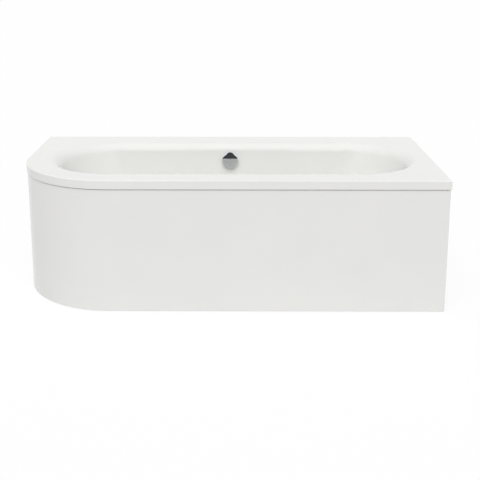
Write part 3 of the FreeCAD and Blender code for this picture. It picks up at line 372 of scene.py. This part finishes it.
# %% [markdown]
# ## From a shape to a piece
#
# A shape is built in a bmesh and becomes an object at the origin. Its doubles are merged and
# its faces are turned outwards before a wall is given to it. A piece then rides on its body
# and stands for the nodes that it replaces.

# %% From a shape to a piece
NEAR = 0.01 * MM                # points closer than this are one point

def piece(name, shape, slot, body="bath", instead_of=(), sharp=40, recalc=True):
    """Makes a finished shape an object, with its finish, its body and what it replaces."""
    bmesh.ops.remove_doubles(shape, verts=shape.verts, dist=NEAR)
    if recalc:
        bmesh.ops.recalc_face_normals(shape, faces=shape.faces)
    mesh = bpy.data.meshes.new(name)
    shape.to_mesh(mesh)
    shape.free()
    mesh.shade_smooth()
    mesh.set_sharp_from_angle(angle=math.radians(sharp))
    made = bpy.data.objects.new(name, mesh)
    bpy.context.scene.collection.objects.link(made)
    mesh.materials.append(FINISHES[slot])
    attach(made, body)
    if instead_of:
        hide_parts(*instead_of)
    print(name, len(mesh.polygons), "faces")
    return made

# %% [markdown]
# ## The basin's surface
#
# The basin is an oval whose walls lean outwards, 9 degrees at the sides and 27 at the ends.
# One half of its section is drawn as a chain with two rounded corners and spun about the
# basin's upright axis, which gives a round bowl. The bowl is split in two and its halves are
# moved apart, further at the rim than at the floor, and the gap is bridged: long straight
# sides and sloping round ends, with every rounding still smooth.

# %% The basin's surface
def chain(shape, points):
    """A chain of edges through points. Returns its vertices."""
    spots = [shape.verts.new(point) for point in points]
    for first, second in zip(spots, spots[1:]):
        shape.edges.new((first, second))
    return spots


def rounded_chain(shape, points, rounds):
    """A chain whose inner corners are rounded: rounds gives each its reach and segments."""
    spots = chain(shape, points)
    for spot, (reach, segments) in zip(spots[1:-1], rounds):
        if reach:
            bmesh.ops.bevel(shape, geom=[spot], offset=reach, offset_type="OFFSET", affect="VERTICES",
                            segments=segments, profile=0.5, material=-1)


def sunk(height):
    """How far down the basin a height lies: 0 at the rim, 1 at the floor."""
    return (RIM_TOP - height) / BASIN_DEPTH


def wall_radius(height, grow=0.0):
    """Half the basin's width at a height, grown outwards."""
    return MOUTH_RADIUS - (MOUTH_RADIUS - FLOOR_RADIUS) * sunk(height) + grow


def half_spread(height):
    """How far each round end lies from the basin's middle at a height."""
    return MOUTH_SPREAD - (MOUTH_SPREAD - FLOOR_SPREAD) * sunk(height)


def across_middle(edge):
    """Whether an edge lies in the plane between the bowl's two halves."""
    return all(abs(vert.co.x) < NEAR for vert in edge.verts)


def basin_skin(shape, points, rounds, steps, cuts, wall_cuts):
    """Spins a half section into a bowl, then draws the bowl out into the oval basin."""
    rounded_chain(shape, points, rounds)
    tallest = max(shape.edges, key=lambda edge: abs(edge.verts[0].co.z - edge.verts[1].co.z))
    bmesh.ops.subdivide_edges(shape, edges=[tallest], cuts=wall_cuts)
    bmesh.ops.spin(shape, geom=list(shape.verts) + list(shape.edges), cent=(0, 0, 0), axis=(0, 0, 1),
                   angle=2 * math.pi, steps=steps, use_merge=True)
    bmesh.ops.remove_doubles(shape, verts=shape.verts, dist=NEAR)
    bmesh.ops.split_edges(shape, edges=[edge for edge in shape.edges if across_middle(edge)])
    ends = set()
    for side in (-1, 1):
        half = {vert for face in shape.faces if face.calc_center_median().x * side > 0
                for vert in face.verts}
        ends |= {edge for vert in half for edge in vert.link_edges
                 if edge.is_boundary and across_middle(edge)}
        for vert in half:
            vert.co.x += side * half_spread(vert.co.z)
    bridged = bmesh.ops.bridge_loops(shape, edges=list(ends))
    sides = [edge for edge in bridged["edges"] if edge.calc_length() > 1.8 * FLOOR_SPREAD]
    bmesh.ops.subdivide_edges(shape, edges=sides, cuts=cuts)
    bmesh.ops.translate(shape, verts=shape.verts, vec=BASIN_MIDDLE)

# %% [markdown]
# ## The acrylic shell
#
# One sheet forms the rim, its turned-down lip and the basin. The rim starts as a rectangle
# with one rounded corner. Its edge is pushed down as the lip and rolled over, and the flat
# top is filled between the lip and the basin's mouth. Only then does the sheet get its
# thickness, and the holes for the overflow and the waste are drilled through it.

# %% The acrylic shell
def wall(made, thickness):
    """Gives an open skin its wall, behind the side that its faces point to."""
    solid = made.modifiers.new("wall", "SOLIDIFY")
    solid.thickness = thickness
    solid.offset = -1
    solid.use_even_offset = True


def push(shape, edges, vector):
    """Extrudes open edges along a vector. Returns the new edges."""
    grown = bmesh.ops.extrude_edge_only(shape, edges=edges)["geom"]
    spots = {item for item in grown if isinstance(item, bmesh.types.BMVert)}
    bmesh.ops.translate(shape, verts=list(spots), vec=vector)
    return [item for item in grown if isinstance(item, bmesh.types.BMEdge) and set(item.verts) <= spots]


def largest(faces):
    """The face with the largest area."""
    return max(faces, key=lambda face: face.calc_area())


def tangent(radius, turn):
    """How far from a corner a rounding starts, for walls that turn by an angle."""
    return radius * math.tan(turn / 2)


STEEP = math.pi / 2 - WALL_TILT
FLOOR_REACH = tangent(FLOOR_ROUND, STEEP)
MOUTH_REACH = tangent(MOUTH_ROUND, STEEP)
RIM_START = MOUTH_RADIUS + MOUTH_REACH + 4 * MM

shell = bmesh.new()
basin_skin(shell, [
    (0, 0, FLOOR_LEVEL), (FLOOR_RADIUS, 0, FLOOR_LEVEL),
    (MOUTH_RADIUS, 0, RIM_TOP), (RIM_START, 0, RIM_TOP),
], [(FLOOR_REACH, 12), (MOUTH_REACH, 10)], steps=96, cuts=3, wall_cuts=3)
mouth = [edge for edge in shell.edges if edge.is_boundary]

plate = bmesh.ops.create_grid(shell, x_segments=1, y_segments=1, size=1)["verts"]
bmesh.ops.scale(shell, verts=plate, vec=(HALF_LENGTH, HALF_WIDTH, 1))
bmesh.ops.translate(shell, verts=plate, vec=(0, 0, RIM_TOP))
corner = min(plate, key=lambda vert: vert.co.x + vert.co.y)
bmesh.ops.bevel(shell, geom=[corner], offset=CORNER_RADIUS, offset_type="OFFSET", affect="VERTICES",
                segments=40, profile=0.5, material=-1)
outline = list(largest(shell.faces).edges)
push(shell, outline, (0, 0, -LIP_HEIGHT))
bmesh.ops.bevel(shell, geom=outline, offset=LIP_ROUND, offset_type="OFFSET", affect="EDGES", segments=5,
                profile=0.5, material=-1)
top_face = largest(shell.faces)
rim_edge = list(top_face.edges)
bmesh.ops.delete(shell, geom=[top_face], context="FACES_ONLY")
bmesh.ops.triangle_fill(shell, edges=rim_edge + mouth, use_beauty=True)
bmesh.ops.remove_doubles(shell, verts=shell.verts, dist=NEAR)
bmesh.ops.recalc_face_normals(shell, faces=shell.faces)
flat = [face for face in shell.faces if abs(face.calc_center_median().z - RIM_TOP) < 0.1 * MM]
if largest(flat).normal.z < 0:
    bmesh.ops.reverse_faces(shell, faces=shell.faces)

tub = piece("acrylic_tub", shell, "acrylic", instead_of=["tub_shell"], recalc=False)
wall(tub, SHELL_WALL)

# %% [markdown]
# The overflow's tube and the waste's tube pass through the sheet. The knob's joint gives the
# overflow's place and direction, so both holes come from the frame. Afterwards the large flat
# faces are given more say in the shading than the small rounded ones beside them.

# %% Holes in the shell
def bake(made):
    """Turns a piece's modifiers into plain mesh."""
    graph = bpy.context.evaluated_depsgraph_get()
    solid = bpy.data.meshes.new_from_object(made.evaluated_get(graph))
    made.modifiers.clear()
    made.data = solid


def drill(made, holes):
    """Cuts round holes: each is a centre, an axis, a radius and a length."""
    cutters = []
    for number, (centre, axis, radius, length) in enumerate(holes):
        shape = bmesh.new()
        turn = Vector(axis).to_track_quat("Z", "Y").to_matrix().to_4x4()
        bmesh.ops.create_cone(shape, cap_ends=True, segments=48, radius1=radius, radius2=radius,
                              depth=length, matrix=Matrix.Translation(centre) @ turn)
        mesh = bpy.data.meshes.new(f"hole_{number}")
        shape.to_mesh(mesh)
        shape.free()
        cutter = bpy.data.objects.new(mesh.name, mesh)
        bpy.context.scene.collection.objects.link(cutter)
        cutters.append(cutter)
        hole = made.modifiers.new(mesh.name, "BOOLEAN")
        hole.object = cutter
        hole.operation = "DIFFERENCE"
        hole.solver = "EXACT"
    bake(made)
    for cutter in cutters:
        bpy.data.objects.remove(cutter)


TURN = next(joint for joint in frame["joints"] if joint["name"] == "knob_turn")
KNOB_AXIS = Vector(TURN["axis"]).normalized()
KNOB_SEAT = Vector(TURN["pos_m"])
FLANGE_LOW, FLANGE_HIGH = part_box("waste_flange")
WASTE = (FLANGE_LOW + FLANGE_HIGH) / 2
OVERFLOW_HOLE = 23 * MM         # both are radii
WASTE_HOLE = 25 * MM
DRILL_LENGTH = 60 * MM

drill(tub, [
    (KNOB_SEAT, KNOB_AXIS, OVERFLOW_HOLE, DRILL_LENGTH),
    (Vector((WASTE.x, WASTE.y, FLOOR_LEVEL)), (0, 0, 1), WASTE_HOLE, DRILL_LENGTH),
])
tub.data.set_sharp_from_angle(angle=math.radians(40))
tub.modifiers.new("even_shading", "WEIGHTED_NORMAL").keep_sharp = True
for corner in (tub.bound_box[0], tub.bound_box[6]):
    print("acrylic_tub corner", [round(value, 4) for value in corner])

# %% [markdown]
# ## The coat behind the basin
#
# The coat follows the basin 5 mm behind its surface. A roller leaves it gently lumpy, so each
# point of a fine skin is pushed in by a smooth noise, here and there by over a millimetre.

# %% The coat behind the basin
COAT_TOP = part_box("glass_fibre_coat")[1].z
COAT_GROW = SHELL_WALL + COAT_WALL
LUMP = 38 * MM
LUMP_HEIGHT = 1.1 * MM
LUMP_ROOM = 1.5 * MM            # of the coat's thickness, left for the lumps

coat = bmesh.new()
coat_low = FLOOR_LEVEL - COAT_GROW
basin_skin(coat, [
    (0, 0, coat_low), (wall_radius(coat_low, COAT_GROW), 0, coat_low),
    (wall_radius(COAT_TOP, COAT_GROW), 0, COAT_TOP),
], [(tangent(FLOOR_ROUND + COAT_GROW, STEEP), 14)], steps=176, cuts=96, wall_cuts=36)
bmesh.ops.recalc_face_normals(coat, faces=coat.faces)
coat.normal_update()
for vert in coat.verts:
    lumps = noise.noise(vert.co / LUMP) + 0.5 * noise.noise(vert.co / (0.4 * LUMP))
    outward = Vector((vert.normal.x, vert.normal.y, max(vert.normal.z, 0)))
    if vert.co.z > coat_low + MM:
        vert.co += outward * (lumps - 1.0) * LUMP_HEIGHT / 2
fibre = piece("glass_fibre_skin", coat, "glass_fibre", instead_of=["glass_fibre_coat"], sharp=60)
wall(fibre, COAT_WALL - LUMP_ROOM)

# %% [markdown]
# ## The bent panel
#
# One acrylic sheet covers the front, the round corner and the left end, with a narrow flange
# turned in at its top, bottom and ends. Its section is a C. The C is pushed along the front,
# spun a quarter turn about the corner's axis and pushed along the left end.

# %% The bent panel
def ease(made, radius, segments=2, angle=40, weld=False):
    """Rounds a piece's sharp edges a little, as moulding, rolling or sanding leaves them."""
    if weld:
        made.modifiers.new("weld", "WELD").merge_threshold = NEAR
    bevel = made.modifiers.new("eased_edges", "BEVEL")
    bevel.width = radius
    bevel.segments = segments
    bevel.limit_method = "ANGLE"
    bevel.angle_limit = math.radians(angle)
    bevel.harden_normals = True


PANEL_LOW, PANEL_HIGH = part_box("apron_panel")
PANEL_FLANGE = 18 * MM
PANEL_WALL = 4 * MM

panel = bmesh.new()
corners = chain(panel, [
    (PANEL_HIGH.x, PANEL_LOW.y + PANEL_FLANGE, PANEL_HIGH.z), (PANEL_HIGH.x, PANEL_LOW.y, PANEL_HIGH.z),
    (PANEL_HIGH.x, PANEL_LOW.y, PANEL_LOW.z), (PANEL_HIGH.x, PANEL_LOW.y + PANEL_FLANGE, PANEL_LOW.z),
])
section = list(panel.edges)
bmesh.ops.contextual_create(panel, geom=corners)
skirt = push(panel, section, (CORNER_AXIS.x - PANEL_HIGH.x, 0, 0))
spots = list({vert for edge in skirt for vert in edge.verts})
turned = bmesh.ops.spin(panel, geom=spots + skirt, cent=CORNER_AXIS, axis=(0, 0, 1), angle=-math.pi / 2,
                        steps=40)
last = [item for item in turned["geom_last"] if isinstance(item, bmesh.types.BMEdge)]
tail = push(panel, last, (0, PANEL_HIGH.y - CORNER_AXIS.y, 0))
bmesh.ops.contextual_create(panel, geom=list({vert for edge in tail for vert in edge.verts}))
apron = piece("acrylic_apron", panel, "acrylic", instead_of=["apron_panel"])
wall(apron, PANEL_WALL)
ease(apron, 2.4 * MM, segments=4, angle=50)

# %% [markdown]
# ## The knob and the plug
#
# The overflow's cap is a shallow chrome lens with a rolled edge: it stands 8 mm off the wall
# so that water can run in behind it. Lathe work is a chain spun about an axis, so cap and
# plug are drawn as half sections and then moved to their seats.

# %% The knob
def lathe(points, steps=64):
    """A shape turned about the Z axis from a chain of radius and height."""
    shape = bmesh.new()
    spots = chain(shape, [(radius, 0, height) for radius, height in points])
    bmesh.ops.spin(shape, geom=spots + list(shape.edges), cent=(0, 0, 0), axis=(0, 0, 1),
                   angle=2 * math.pi, steps=steps, use_merge=True)
    bmesh.ops.remove_doubles(shape, verts=shape.verts, dist=NEAR)
    return shape


def seat_at(shape, origin, axis):
    """Moves a shape that was made about Z to its seat, with Z along an axis."""
    turn = Vector(axis).to_track_quat("Z", "Y").to_matrix().to_4x4()
    bmesh.ops.transform(shape, verts=shape.verts, matrix=Matrix.Translation(origin) @ turn)
    return shape


def millimetres(points):
    """Radii and heights in millimetres, turned into metres."""
    return [(radius * MM, height * MM) for radius, height in points]


def domed(top, drop, radii):
    """The half section of a shallow dome, whose edge lies a drop below its top."""
    return [(radius, top - drop * (radius / radii[-1]) ** 2) for radius in radii]


CAP_HEIGHT = 22                 # millimetres, as in the outlines of turned pieces
CAP_DOME = 2.2
cap = lathe(millimetres(domed(CAP_HEIGHT, CAP_DOME, (0, 6, 12, 18, 24, 29, 33)) + [
    (34.4, 19.3), (35.4, 18.4), (36, 17.0), (36, 9.2), (35.6, 8.3), (34.8, 8), (32.6, 8), (32, 8.6),
    (32, 16.6), (10, 17.6), (10, 8.2), (5.1, 8.2), (5.1, 18), (0, 18),
]), steps=96)
piece("chrome_knob", seat_at(cap, KNOB_SEAT, KNOB_AXIS), "chrome", body="knob",
      instead_of=["overflow_knob"], sharp=32)

# %% The plug
PLUG_LOW, PLUG_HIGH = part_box("waste_plug")
PLUG_DOME = 3.6
plug_top = (PLUG_HIGH.z - PLUG_LOW.z) / MM
plug = lathe(millimetres(domed(plug_top, PLUG_DOME, (0, 6, 12, 17, 22, 26, 28)) + [
    (29.1, plug_top - 4.1), (29.5, plug_top - 4.4), (29.3, plug_top - 4.5), (18, plug_top - 4.5),
    (18, plug_top - 11), (4, plug_top - 11), (4, 0.6), (3.4, 0), (0, 0),
]), steps=72)
seat = Vector((WASTE.x, WASTE.y, PLUG_LOW.z))
piece("chrome_plug", seat_at(plug, seat, (0, 0, 1)), "chrome", body="plug",
      instead_of=["waste_plug"], sharp=32)

# %% [markdown]
# ## Union nuts
#
# Every pipe joint is closed by a hand nut with grip ribs. Every third outer face of a tube is
# inset and raised, which leaves ribs with sloping flanks. Its two rims are bridged to a
# smaller tube, the bore.

# %% Union nuts
RIB_HEIGHT = 1.3 * MM
RIB_FLANK = 0.35 * MM
OVERFLOW_BORE = 12.8 * MM       # radii, a little wider than the pipes that pass through
DRAIN_BORE = 20.3 * MM

def ribbed_nut(name, node, axis, bore, ribs):
    """A ribbed nut of the size, place and length of its node, whose axis has no X part."""
    low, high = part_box(node)
    span = high - low
    outer = span.x / 2
    along = Vector(axis).normalized()
    rise, reach = abs(along.z), abs(along.y)
    if rise > reach:
        length = (span.z - 2 * outer * reach) / rise
    else:
        length = (span.y - 2 * outer * rise) / reach
    root = outer - RIB_HEIGHT
    shape = bmesh.new()
    bmesh.ops.create_cone(shape, segments=3 * ribs, radius1=root, radius2=root, depth=length,
                          cap_ends=False)
    sides = sorted(shape.faces, key=lambda face: math.atan2(*face.calc_center_median().xy))
    bmesh.ops.inset_individual(shape, faces=sides[::3], thickness=RIB_FLANK, depth=RIB_HEIGHT)
    bmesh.ops.create_cone(shape, segments=3 * ribs, radius1=bore, radius2=bore, depth=length,
                          cap_ends=False)
    for level in (-length / 2, length / 2):
        loop = [edge for edge in shape.edges if edge.is_boundary
                and all(abs(vert.co.z - level) < NEAR for vert in edge.verts)]
        bmesh.ops.bridge_loops(shape, edges=loop)
    piece(name, seat_at(shape, (low + high) / 2, along), "nut_plastic", instead_of=[node], sharp=25)
    print(name, "length", round(length / MM, 1), "radius", round(outer / MM, 1))


DOWN_WALL = KNOB_AXIS.cross(Vector((1, 0, 0))).normalized()
ribbed_nut("overflow_union", "overflow_nut", DOWN_WALL, OVERFLOW_BORE, 18)
ribbed_nut("inlet_union", "inlet_nut", (0, 1, 0), OVERFLOW_BORE, 18)
ribbed_nut("trap_union", "trap_nut", (0, 0, 1), DRAIN_BORE, 24)
ribbed_nut("outlet_union", "outlet_nut", (0, 1, 0), DRAIN_BORE, 24)

# %% [markdown]
# ## Threaded feet
#
# A foot is a zinc-plated rod in a plastic pad. The thread is real: one tooth of it is spun
# round the rod while it climbs by the pitch each turn. The hexagon is where a spanner turns
# the rod. The pad is a turned shape too, and eight webs stiffen it.

# %% Threaded rods
PITCH = 1.75 * MM
ROD_RADIUS = 6 * MM
ROD_CORE = ROD_RADIUS - 0.95 * MM
ROD_END = 1 * MM                # of bare core at either end
THREAD_STEPS = 20               # round one turn
HEXAGON_RADIUS = 10 * MM
HEXAGON_HEIGHT = 8 * MM
HEXAGON_LEVEL = 30 * MM         # of its middle above the ground

def threaded_rod(number):
    """The rod of one foot, with its thread and its spanner hexagon."""
    low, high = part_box(f"foot_rod_{number}")
    middle = (low + high) / 2
    turns = int((high.z - low.z - 2 * ROD_END) / PITCH)
    shape = bmesh.new()
    start = low.z + ROD_END
    tooth = chain(shape, [
        (ROD_CORE, 0, start), (ROD_RADIUS, 0, start + 0.42 * PITCH),
        (ROD_RADIUS, 0, start + 0.58 * PITCH), (ROD_CORE, 0, start + PITCH),
    ])
    bmesh.ops.spin(shape, geom=tooth + list(shape.edges), cent=(0, 0, 0), axis=(0, 0, 1),
                   dvec=(0, 0, PITCH / THREAD_STEPS), angle=2 * math.pi * turns, steps=turns * THREAD_STEPS)
    bmesh.ops.create_cone(shape, cap_ends=True, segments=THREAD_STEPS, radius1=ROD_CORE, radius2=ROD_CORE,
                          depth=high.z - low.z, matrix=Matrix.Translation((0, 0, middle.z)))
    seat = Matrix.Translation((0, 0, HEXAGON_LEVEL)) @ Matrix.Rotation(math.pi / 6, 4, "Z")
    bmesh.ops.create_cone(shape, cap_ends=True, segments=6, radius1=HEXAGON_RADIUS, radius2=HEXAGON_RADIUS,
                          depth=HEXAGON_HEIGHT, matrix=seat)
    bmesh.ops.translate(shape, verts=shape.verts, vec=(middle.x, middle.y, 0))
    piece(f"threaded_rod_{number}", shape, "zinc_steel", body=f"rod_{number}",
          instead_of=[f"foot_rod_{number}"], sharp=30)

# %% Foot pads
WEBS = 8
WEB_SIZE = Vector((12, 1.8, 10)) * MM
WEB_PLACE = Vector((17, 0, 10.5)) * MM
WEB_FOOT = 6.6 * MM             # height of a web's outer end

def foot_pad(number):
    """The pad of one foot, turned and then stiffened by webs."""
    low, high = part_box(f"foot_pad_{number}")
    middle = (low + high) / 2
    shape = lathe(millimetres([
        (0, 0), (23.6, 0), (24.6, 0.5), (25, 1.6), (25, 4.4), (24.5, 5.4), (23.4, 6), (14.5, 7.2),
        (12.6, 8.6), (11.5, 11), (11.5, 21), (11, 21.8), (10.2, 22), (6.6, 22), (6.1, 21.5), (6.1, 8),
        (0, 8),
    ]), steps=48)
    for number_of_web in range(WEBS):
        web = bmesh.ops.create_cube(shape, size=1)["verts"]
        bmesh.ops.scale(shape, verts=web, vec=WEB_SIZE)
        bmesh.ops.translate(shape, verts=web, vec=WEB_PLACE)
        for vert in web:
            if vert.co.x > WEB_PLACE.x and vert.co.z > WEB_PLACE.z:
                vert.co.z = WEB_FOOT
        turn = Matrix.Rotation(number_of_web * 2 * math.pi / WEBS, 3, "Z")
        bmesh.ops.rotate(shape, verts=web, cent=(0, 0, 0), matrix=turn)
    bmesh.ops.translate(shape, verts=shape.verts, vec=(middle.x, middle.y, low.z))
    piece(f"ribbed_foot_{number}", shape, "foot_plastic", body=f"foot_{number}",
          instead_of=[f"foot_pad_{number}"], sharp=35)


for number in (1, 2, 3, 4):
    threaded_rod(number)
    foot_pad(number)

# %% [markdown]
# ## Screws
#
# The frame holds each screw as a plain solid. Its loose solids are found one by one, and a
# screw with a rounded head and a cross recess is set at each. The recess is cut once, in the
# screw that all the others are copied from.

# %% Where the screws are
def solids(node):
    """The boxes of a node's separate solids."""
    shape = bmesh.new()
    shape.from_mesh(frame["nodes"][node].data)
    bmesh.ops.remove_doubles(shape, verts=shape.verts, dist=NEAR)
    left = set(shape.verts)
    found = []
    while left:
        places = []
        waiting = [left.pop()]
        while waiting:
            vert = waiting.pop()
            places.append(vert.co.copy())
            for edge in vert.link_edges:
                other = edge.other_vert(vert)
                if other in left:
                    left.discard(other)
                    waiting.append(other)
        low = Vector([min(place[axis] for place in places) for axis in range(3)])
        high = Vector([max(place[axis] for place in places) for axis in range(3)])
        found.append((low, high))
    shape.free()
    return sorted(found, key=lambda box: tuple(round(value, 4) for value in box[0]))

# %% One screw
RECESS = Vector((4.4, 1.1, 2.4)) * MM           # of one slot: length, width, and twice its depth

def cross_head_screw(length):
    """A screw about Z with its head's top at zero and its tip below."""
    shape = lathe(millimetres([
        (0, 0), (1.6, -0.05), (2.8, -0.35), (3.7, -0.9), (4.3, -1.6), (4.5, -2.2), (2, -2.2),
        (2, -length / MM + 1.5), (0, -length / MM),
    ]), steps=24)
    mesh = bpy.data.meshes.new("screw")
    bmesh.ops.recalc_face_normals(shape, faces=shape.faces)
    shape.to_mesh(mesh)
    shape.free()
    screw = bpy.data.objects.new("screw", mesh)
    bpy.context.scene.collection.objects.link(screw)
    cross = bmesh.new()
    for turn in (0, math.pi / 2):
        slot = bmesh.ops.create_cube(cross, size=1)["verts"]
        bmesh.ops.scale(cross, verts=slot, vec=RECESS)
        bmesh.ops.rotate(cross, verts=slot, cent=(0, 0, 0), matrix=Matrix.Rotation(turn, 3, "Z"))
    recess = bpy.data.meshes.new("recess")
    cross.to_mesh(recess)
    cross.free()
    cutter = bpy.data.objects.new("recess", recess)
    bpy.context.scene.collection.objects.link(cutter)
    hole = screw.modifiers.new("recess", "BOOLEAN")
    hole.object = cutter
    hole.solver = "EXACT"
    hole.use_self = True
    bake(screw)
    made = screw.data
    bpy.data.objects.remove(screw)
    bpy.data.objects.remove(cutter)
    return made

# %% Sets of screws
def screw_set(name, node, head_up):
    """Sets a modelled screw at each of a node's solids, heads up or down."""
    shape = bmesh.new()
    templates = {}
    for low, high in solids(node):
        length = round(high.z - low.z, 5)
        if length not in templates:
            templates[length] = cross_head_screw(length)
        before = set(shape.verts)
        shape.from_mesh(templates[length])
        fresh = [vert for vert in shape.verts if vert not in before]
        middle = (low + high) / 2
        if not head_up:
            bmesh.ops.rotate(shape, verts=fresh, cent=(0, 0, 0), matrix=Matrix.Rotation(math.pi, 3, "X"))
        top = high.z if head_up else low.z
        bmesh.ops.translate(shape, verts=fresh, vec=(middle.x, middle.y, top))
    piece(name, shape, "zinc_steel", instead_of=[node], sharp=35)


screw_set("clip_fixings", "clip_screws", head_up=False)
screw_set("rail_fixings", "rail_screws", head_up=False)
screw_set("bracket_fixings", "bracket_screws", head_up=True)

# %% [markdown]
# ## Pieces that keep their shape
#
# The rest is already right. Each node gets its finish, and what was folded, sawn or moulded
# loses its knife-sharp edges: a weld joins its loose triangles and a small bevel does the rest.

# %% Pieces that keep their shape
EASED = {                       # radius of each piece's edges, in millimetres
    "base_board": 1.2, "front_batten": 1.0, "left_batten": 1.0, "back_batten": 1.0, "right_batten": 1.0,
    "left_rail": 0.7, "right_rail": 0.7, "panel_brackets": 0.8, "panel_clips": 0.8,
    "rail_nuts": 0.7, "lock_nuts": 0.7, "overflow_body": 0.9, "waste_body": 0.7, "trap_body": 1.2,
    "outlet_pipe": 0.4, "cable_clips": 0.3,
}
slot_of = {part["node"]: part["material_slot"] for part in frame["record"]["subparts"]}
for name, node in frame["nodes"].items():
    node.data.materials.clear()
    node.data.materials.append(FINISHES[slot_of[name]])
    if name in EASED:
        ease(node, EASED[name] * MM, segments=2, weld=True)
print("finished", len(slot_of), "nodes,", len(EASED), "of them with eased edges")

# %% [markdown]
# ## Studio
#
# A floor runs to the horizon. It is pale grey in the light that it throws back and nearly
# white to the camera, with a trace of the bath's shadow. The world is white wherever the
# camera or a mirror looks at it. The light itself is soft: an even sky, and one broad lamp high
# in front, which polished surfaces don't mirror. A dark card with a stepped top stands before
# the bath, out of view, as photographers use it: only mirrors see it, and it gives the chrome
# cap its dark upper half with bright shoulders.

# %% Floor
STUDIO_HALF = 60                # metres of floor to either side
GLOW_SHARE = 0.82               # of what the camera sees of the floor, the rest is its shading
GLOW = 1.07                     # above 1, to make up for the grey that it is mixed with

def floor_white():
    material, tree, shader = finish("studio_floor", "#d9d9d9", 0.9)
    shader.inputs["Specular IOR Level"].default_value = 0.0
    ray = add(tree, "ShaderNodeLightPath")
    seen = add(tree, "ShaderNodeMath", {"operation": "MAXIMUM"},
               {0: ray.outputs["Is Camera Ray"], 1: ray.outputs["Is Glossy Ray"]})
    share = add(tree, "ShaderNodeMath", {"operation": "MULTIPLY", 1: GLOW_SHARE},
                {0: seen.outputs["Value"]})
    glow = add(tree, "ShaderNodeEmission", {"Strength": GLOW})
    mix = add(tree, "ShaderNodeMixShader",
              links={"Fac": share.outputs["Value"], 1: shader.outputs["BSDF"], 2: glow.outputs["Emission"]})
    tree.links.new(mix.outputs["Shader"], tree.nodes["Material Output"].inputs["Surface"])
    return material


ground = bmesh.new()
bmesh.ops.create_grid(ground, x_segments=1, y_segments=1, size=STUDIO_HALF)
ground_mesh = bpy.data.meshes.new("floor")
ground.to_mesh(ground_mesh)
ground.free()
floor = bpy.data.objects.new("floor", ground_mesh)
bpy.context.scene.collection.objects.link(floor)
ground_mesh.materials.append(floor_white())
print("floor", 2 * STUDIO_HALF, "m wide")

# %% World
SKY = 0.41                      # strength of the even light from all round

world = bpy.data.worlds.new("studio")
bpy.context.scene.world = world
world.use_nodes = True
sky = world.node_tree
sky.nodes.clear()
ray = add(sky, "ShaderNodeLightPath")
mirrored = add(sky, "ShaderNodeMath", {"operation": "MAXIMUM"},
               {0: ray.outputs["Is Glossy Ray"], 1: ray.outputs["Is Transmission Ray"]})
seen = add(sky, "ShaderNodeMath", {"operation": "MAXIMUM"},
           {0: ray.outputs["Is Camera Ray"], 1: mirrored.outputs["Value"]})
level = add(sky, "ShaderNodeMapRange", {"To Min": SKY, "To Max": 1.0}, {"Value": seen.outputs["Value"]})
light = add(sky, "ShaderNodeBackground", {"Color": linear("#ffffff")},
            {"Strength": level.outputs["Result"]})
add(sky, "ShaderNodeOutputWorld", links={"Surface": light.outputs["Background"]})
print("world", len(sky.nodes), "nodes")

# %% Lamp and card
lamp = bpy.data.lights.new("overhead", "SUN")
lamp.energy = 1.95
lamp.angle = math.radians(50)
overhead = bpy.data.objects.new("overhead", lamp)
overhead.rotation_euler = (math.radians(33), math.radians(-2), 0)
overhead.visible_glossy = False
bpy.context.scene.collection.objects.link(overhead)

CARD_FRONT = -2.2               # metres, where the card stands before the bath
CARD_STEPS = ((2.2, 0.65, 1.1), (0.42, 1.1, 3.2))       # half a step's width, its foot and its top

card_shape = bmesh.new()
for half_wide, low, high in CARD_STEPS:
    sheet = bmesh.ops.create_grid(card_shape, x_segments=1, y_segments=1, size=1)["verts"]
    bmesh.ops.scale(card_shape, verts=sheet, vec=(half_wide, (high - low) / 2, 1))
    bmesh.ops.rotate(card_shape, verts=sheet, cent=(0, 0, 0), matrix=Matrix.Rotation(math.pi / 2, 3, "X"))
    bmesh.ops.translate(card_shape, verts=sheet, vec=(0, CARD_FRONT, (low + high) / 2))
card_mesh = bpy.data.meshes.new("card")
card_shape.to_mesh(card_mesh)
card_shape.free()
card = bpy.data.objects.new("card", card_mesh)
bpy.context.scene.collection.objects.link(card)
card_mesh.materials.append(finish("card_paint", "#5a5a5a", 0.9)[0])
card.visible_camera = False
card.visible_diffuse = False
card.visible_shadow = False
card.visible_transmission = False
print("lamp", lamp.energy, "card", len(card_mesh.polygons), "steps")

# %% [markdown]
# ## Camera
#
# The photograph keeps its upright edges upright: its lens was shifted down rather than
# tilted. A small shift here does a third of that work and a tilt of the camera the rest, and
# its place was fitted so that the rim and the panel lie where the photograph shows them.

# %% Camera
lens = bpy.data.cameras.new("camera")
lens.sensor_width = 36
lens.lens = 62.4
lens.shift_x = 0.008
lens.shift_y = -0.2
camera = bpy.data.objects.new("camera", lens)
camera.location = (0.0469, -3.4456, 1.354)
camera.rotation_euler = (math.radians(90 - 12.52), 0, 0.0053)
bpy.context.scene.collection.objects.link(camera)
bpy.context.scene.camera = camera
bpy.context.scene.view_settings.view_transform = "Standard"
print("camera", [round(value, 3) for value in camera.location], "lens", lens.lens, "mm")
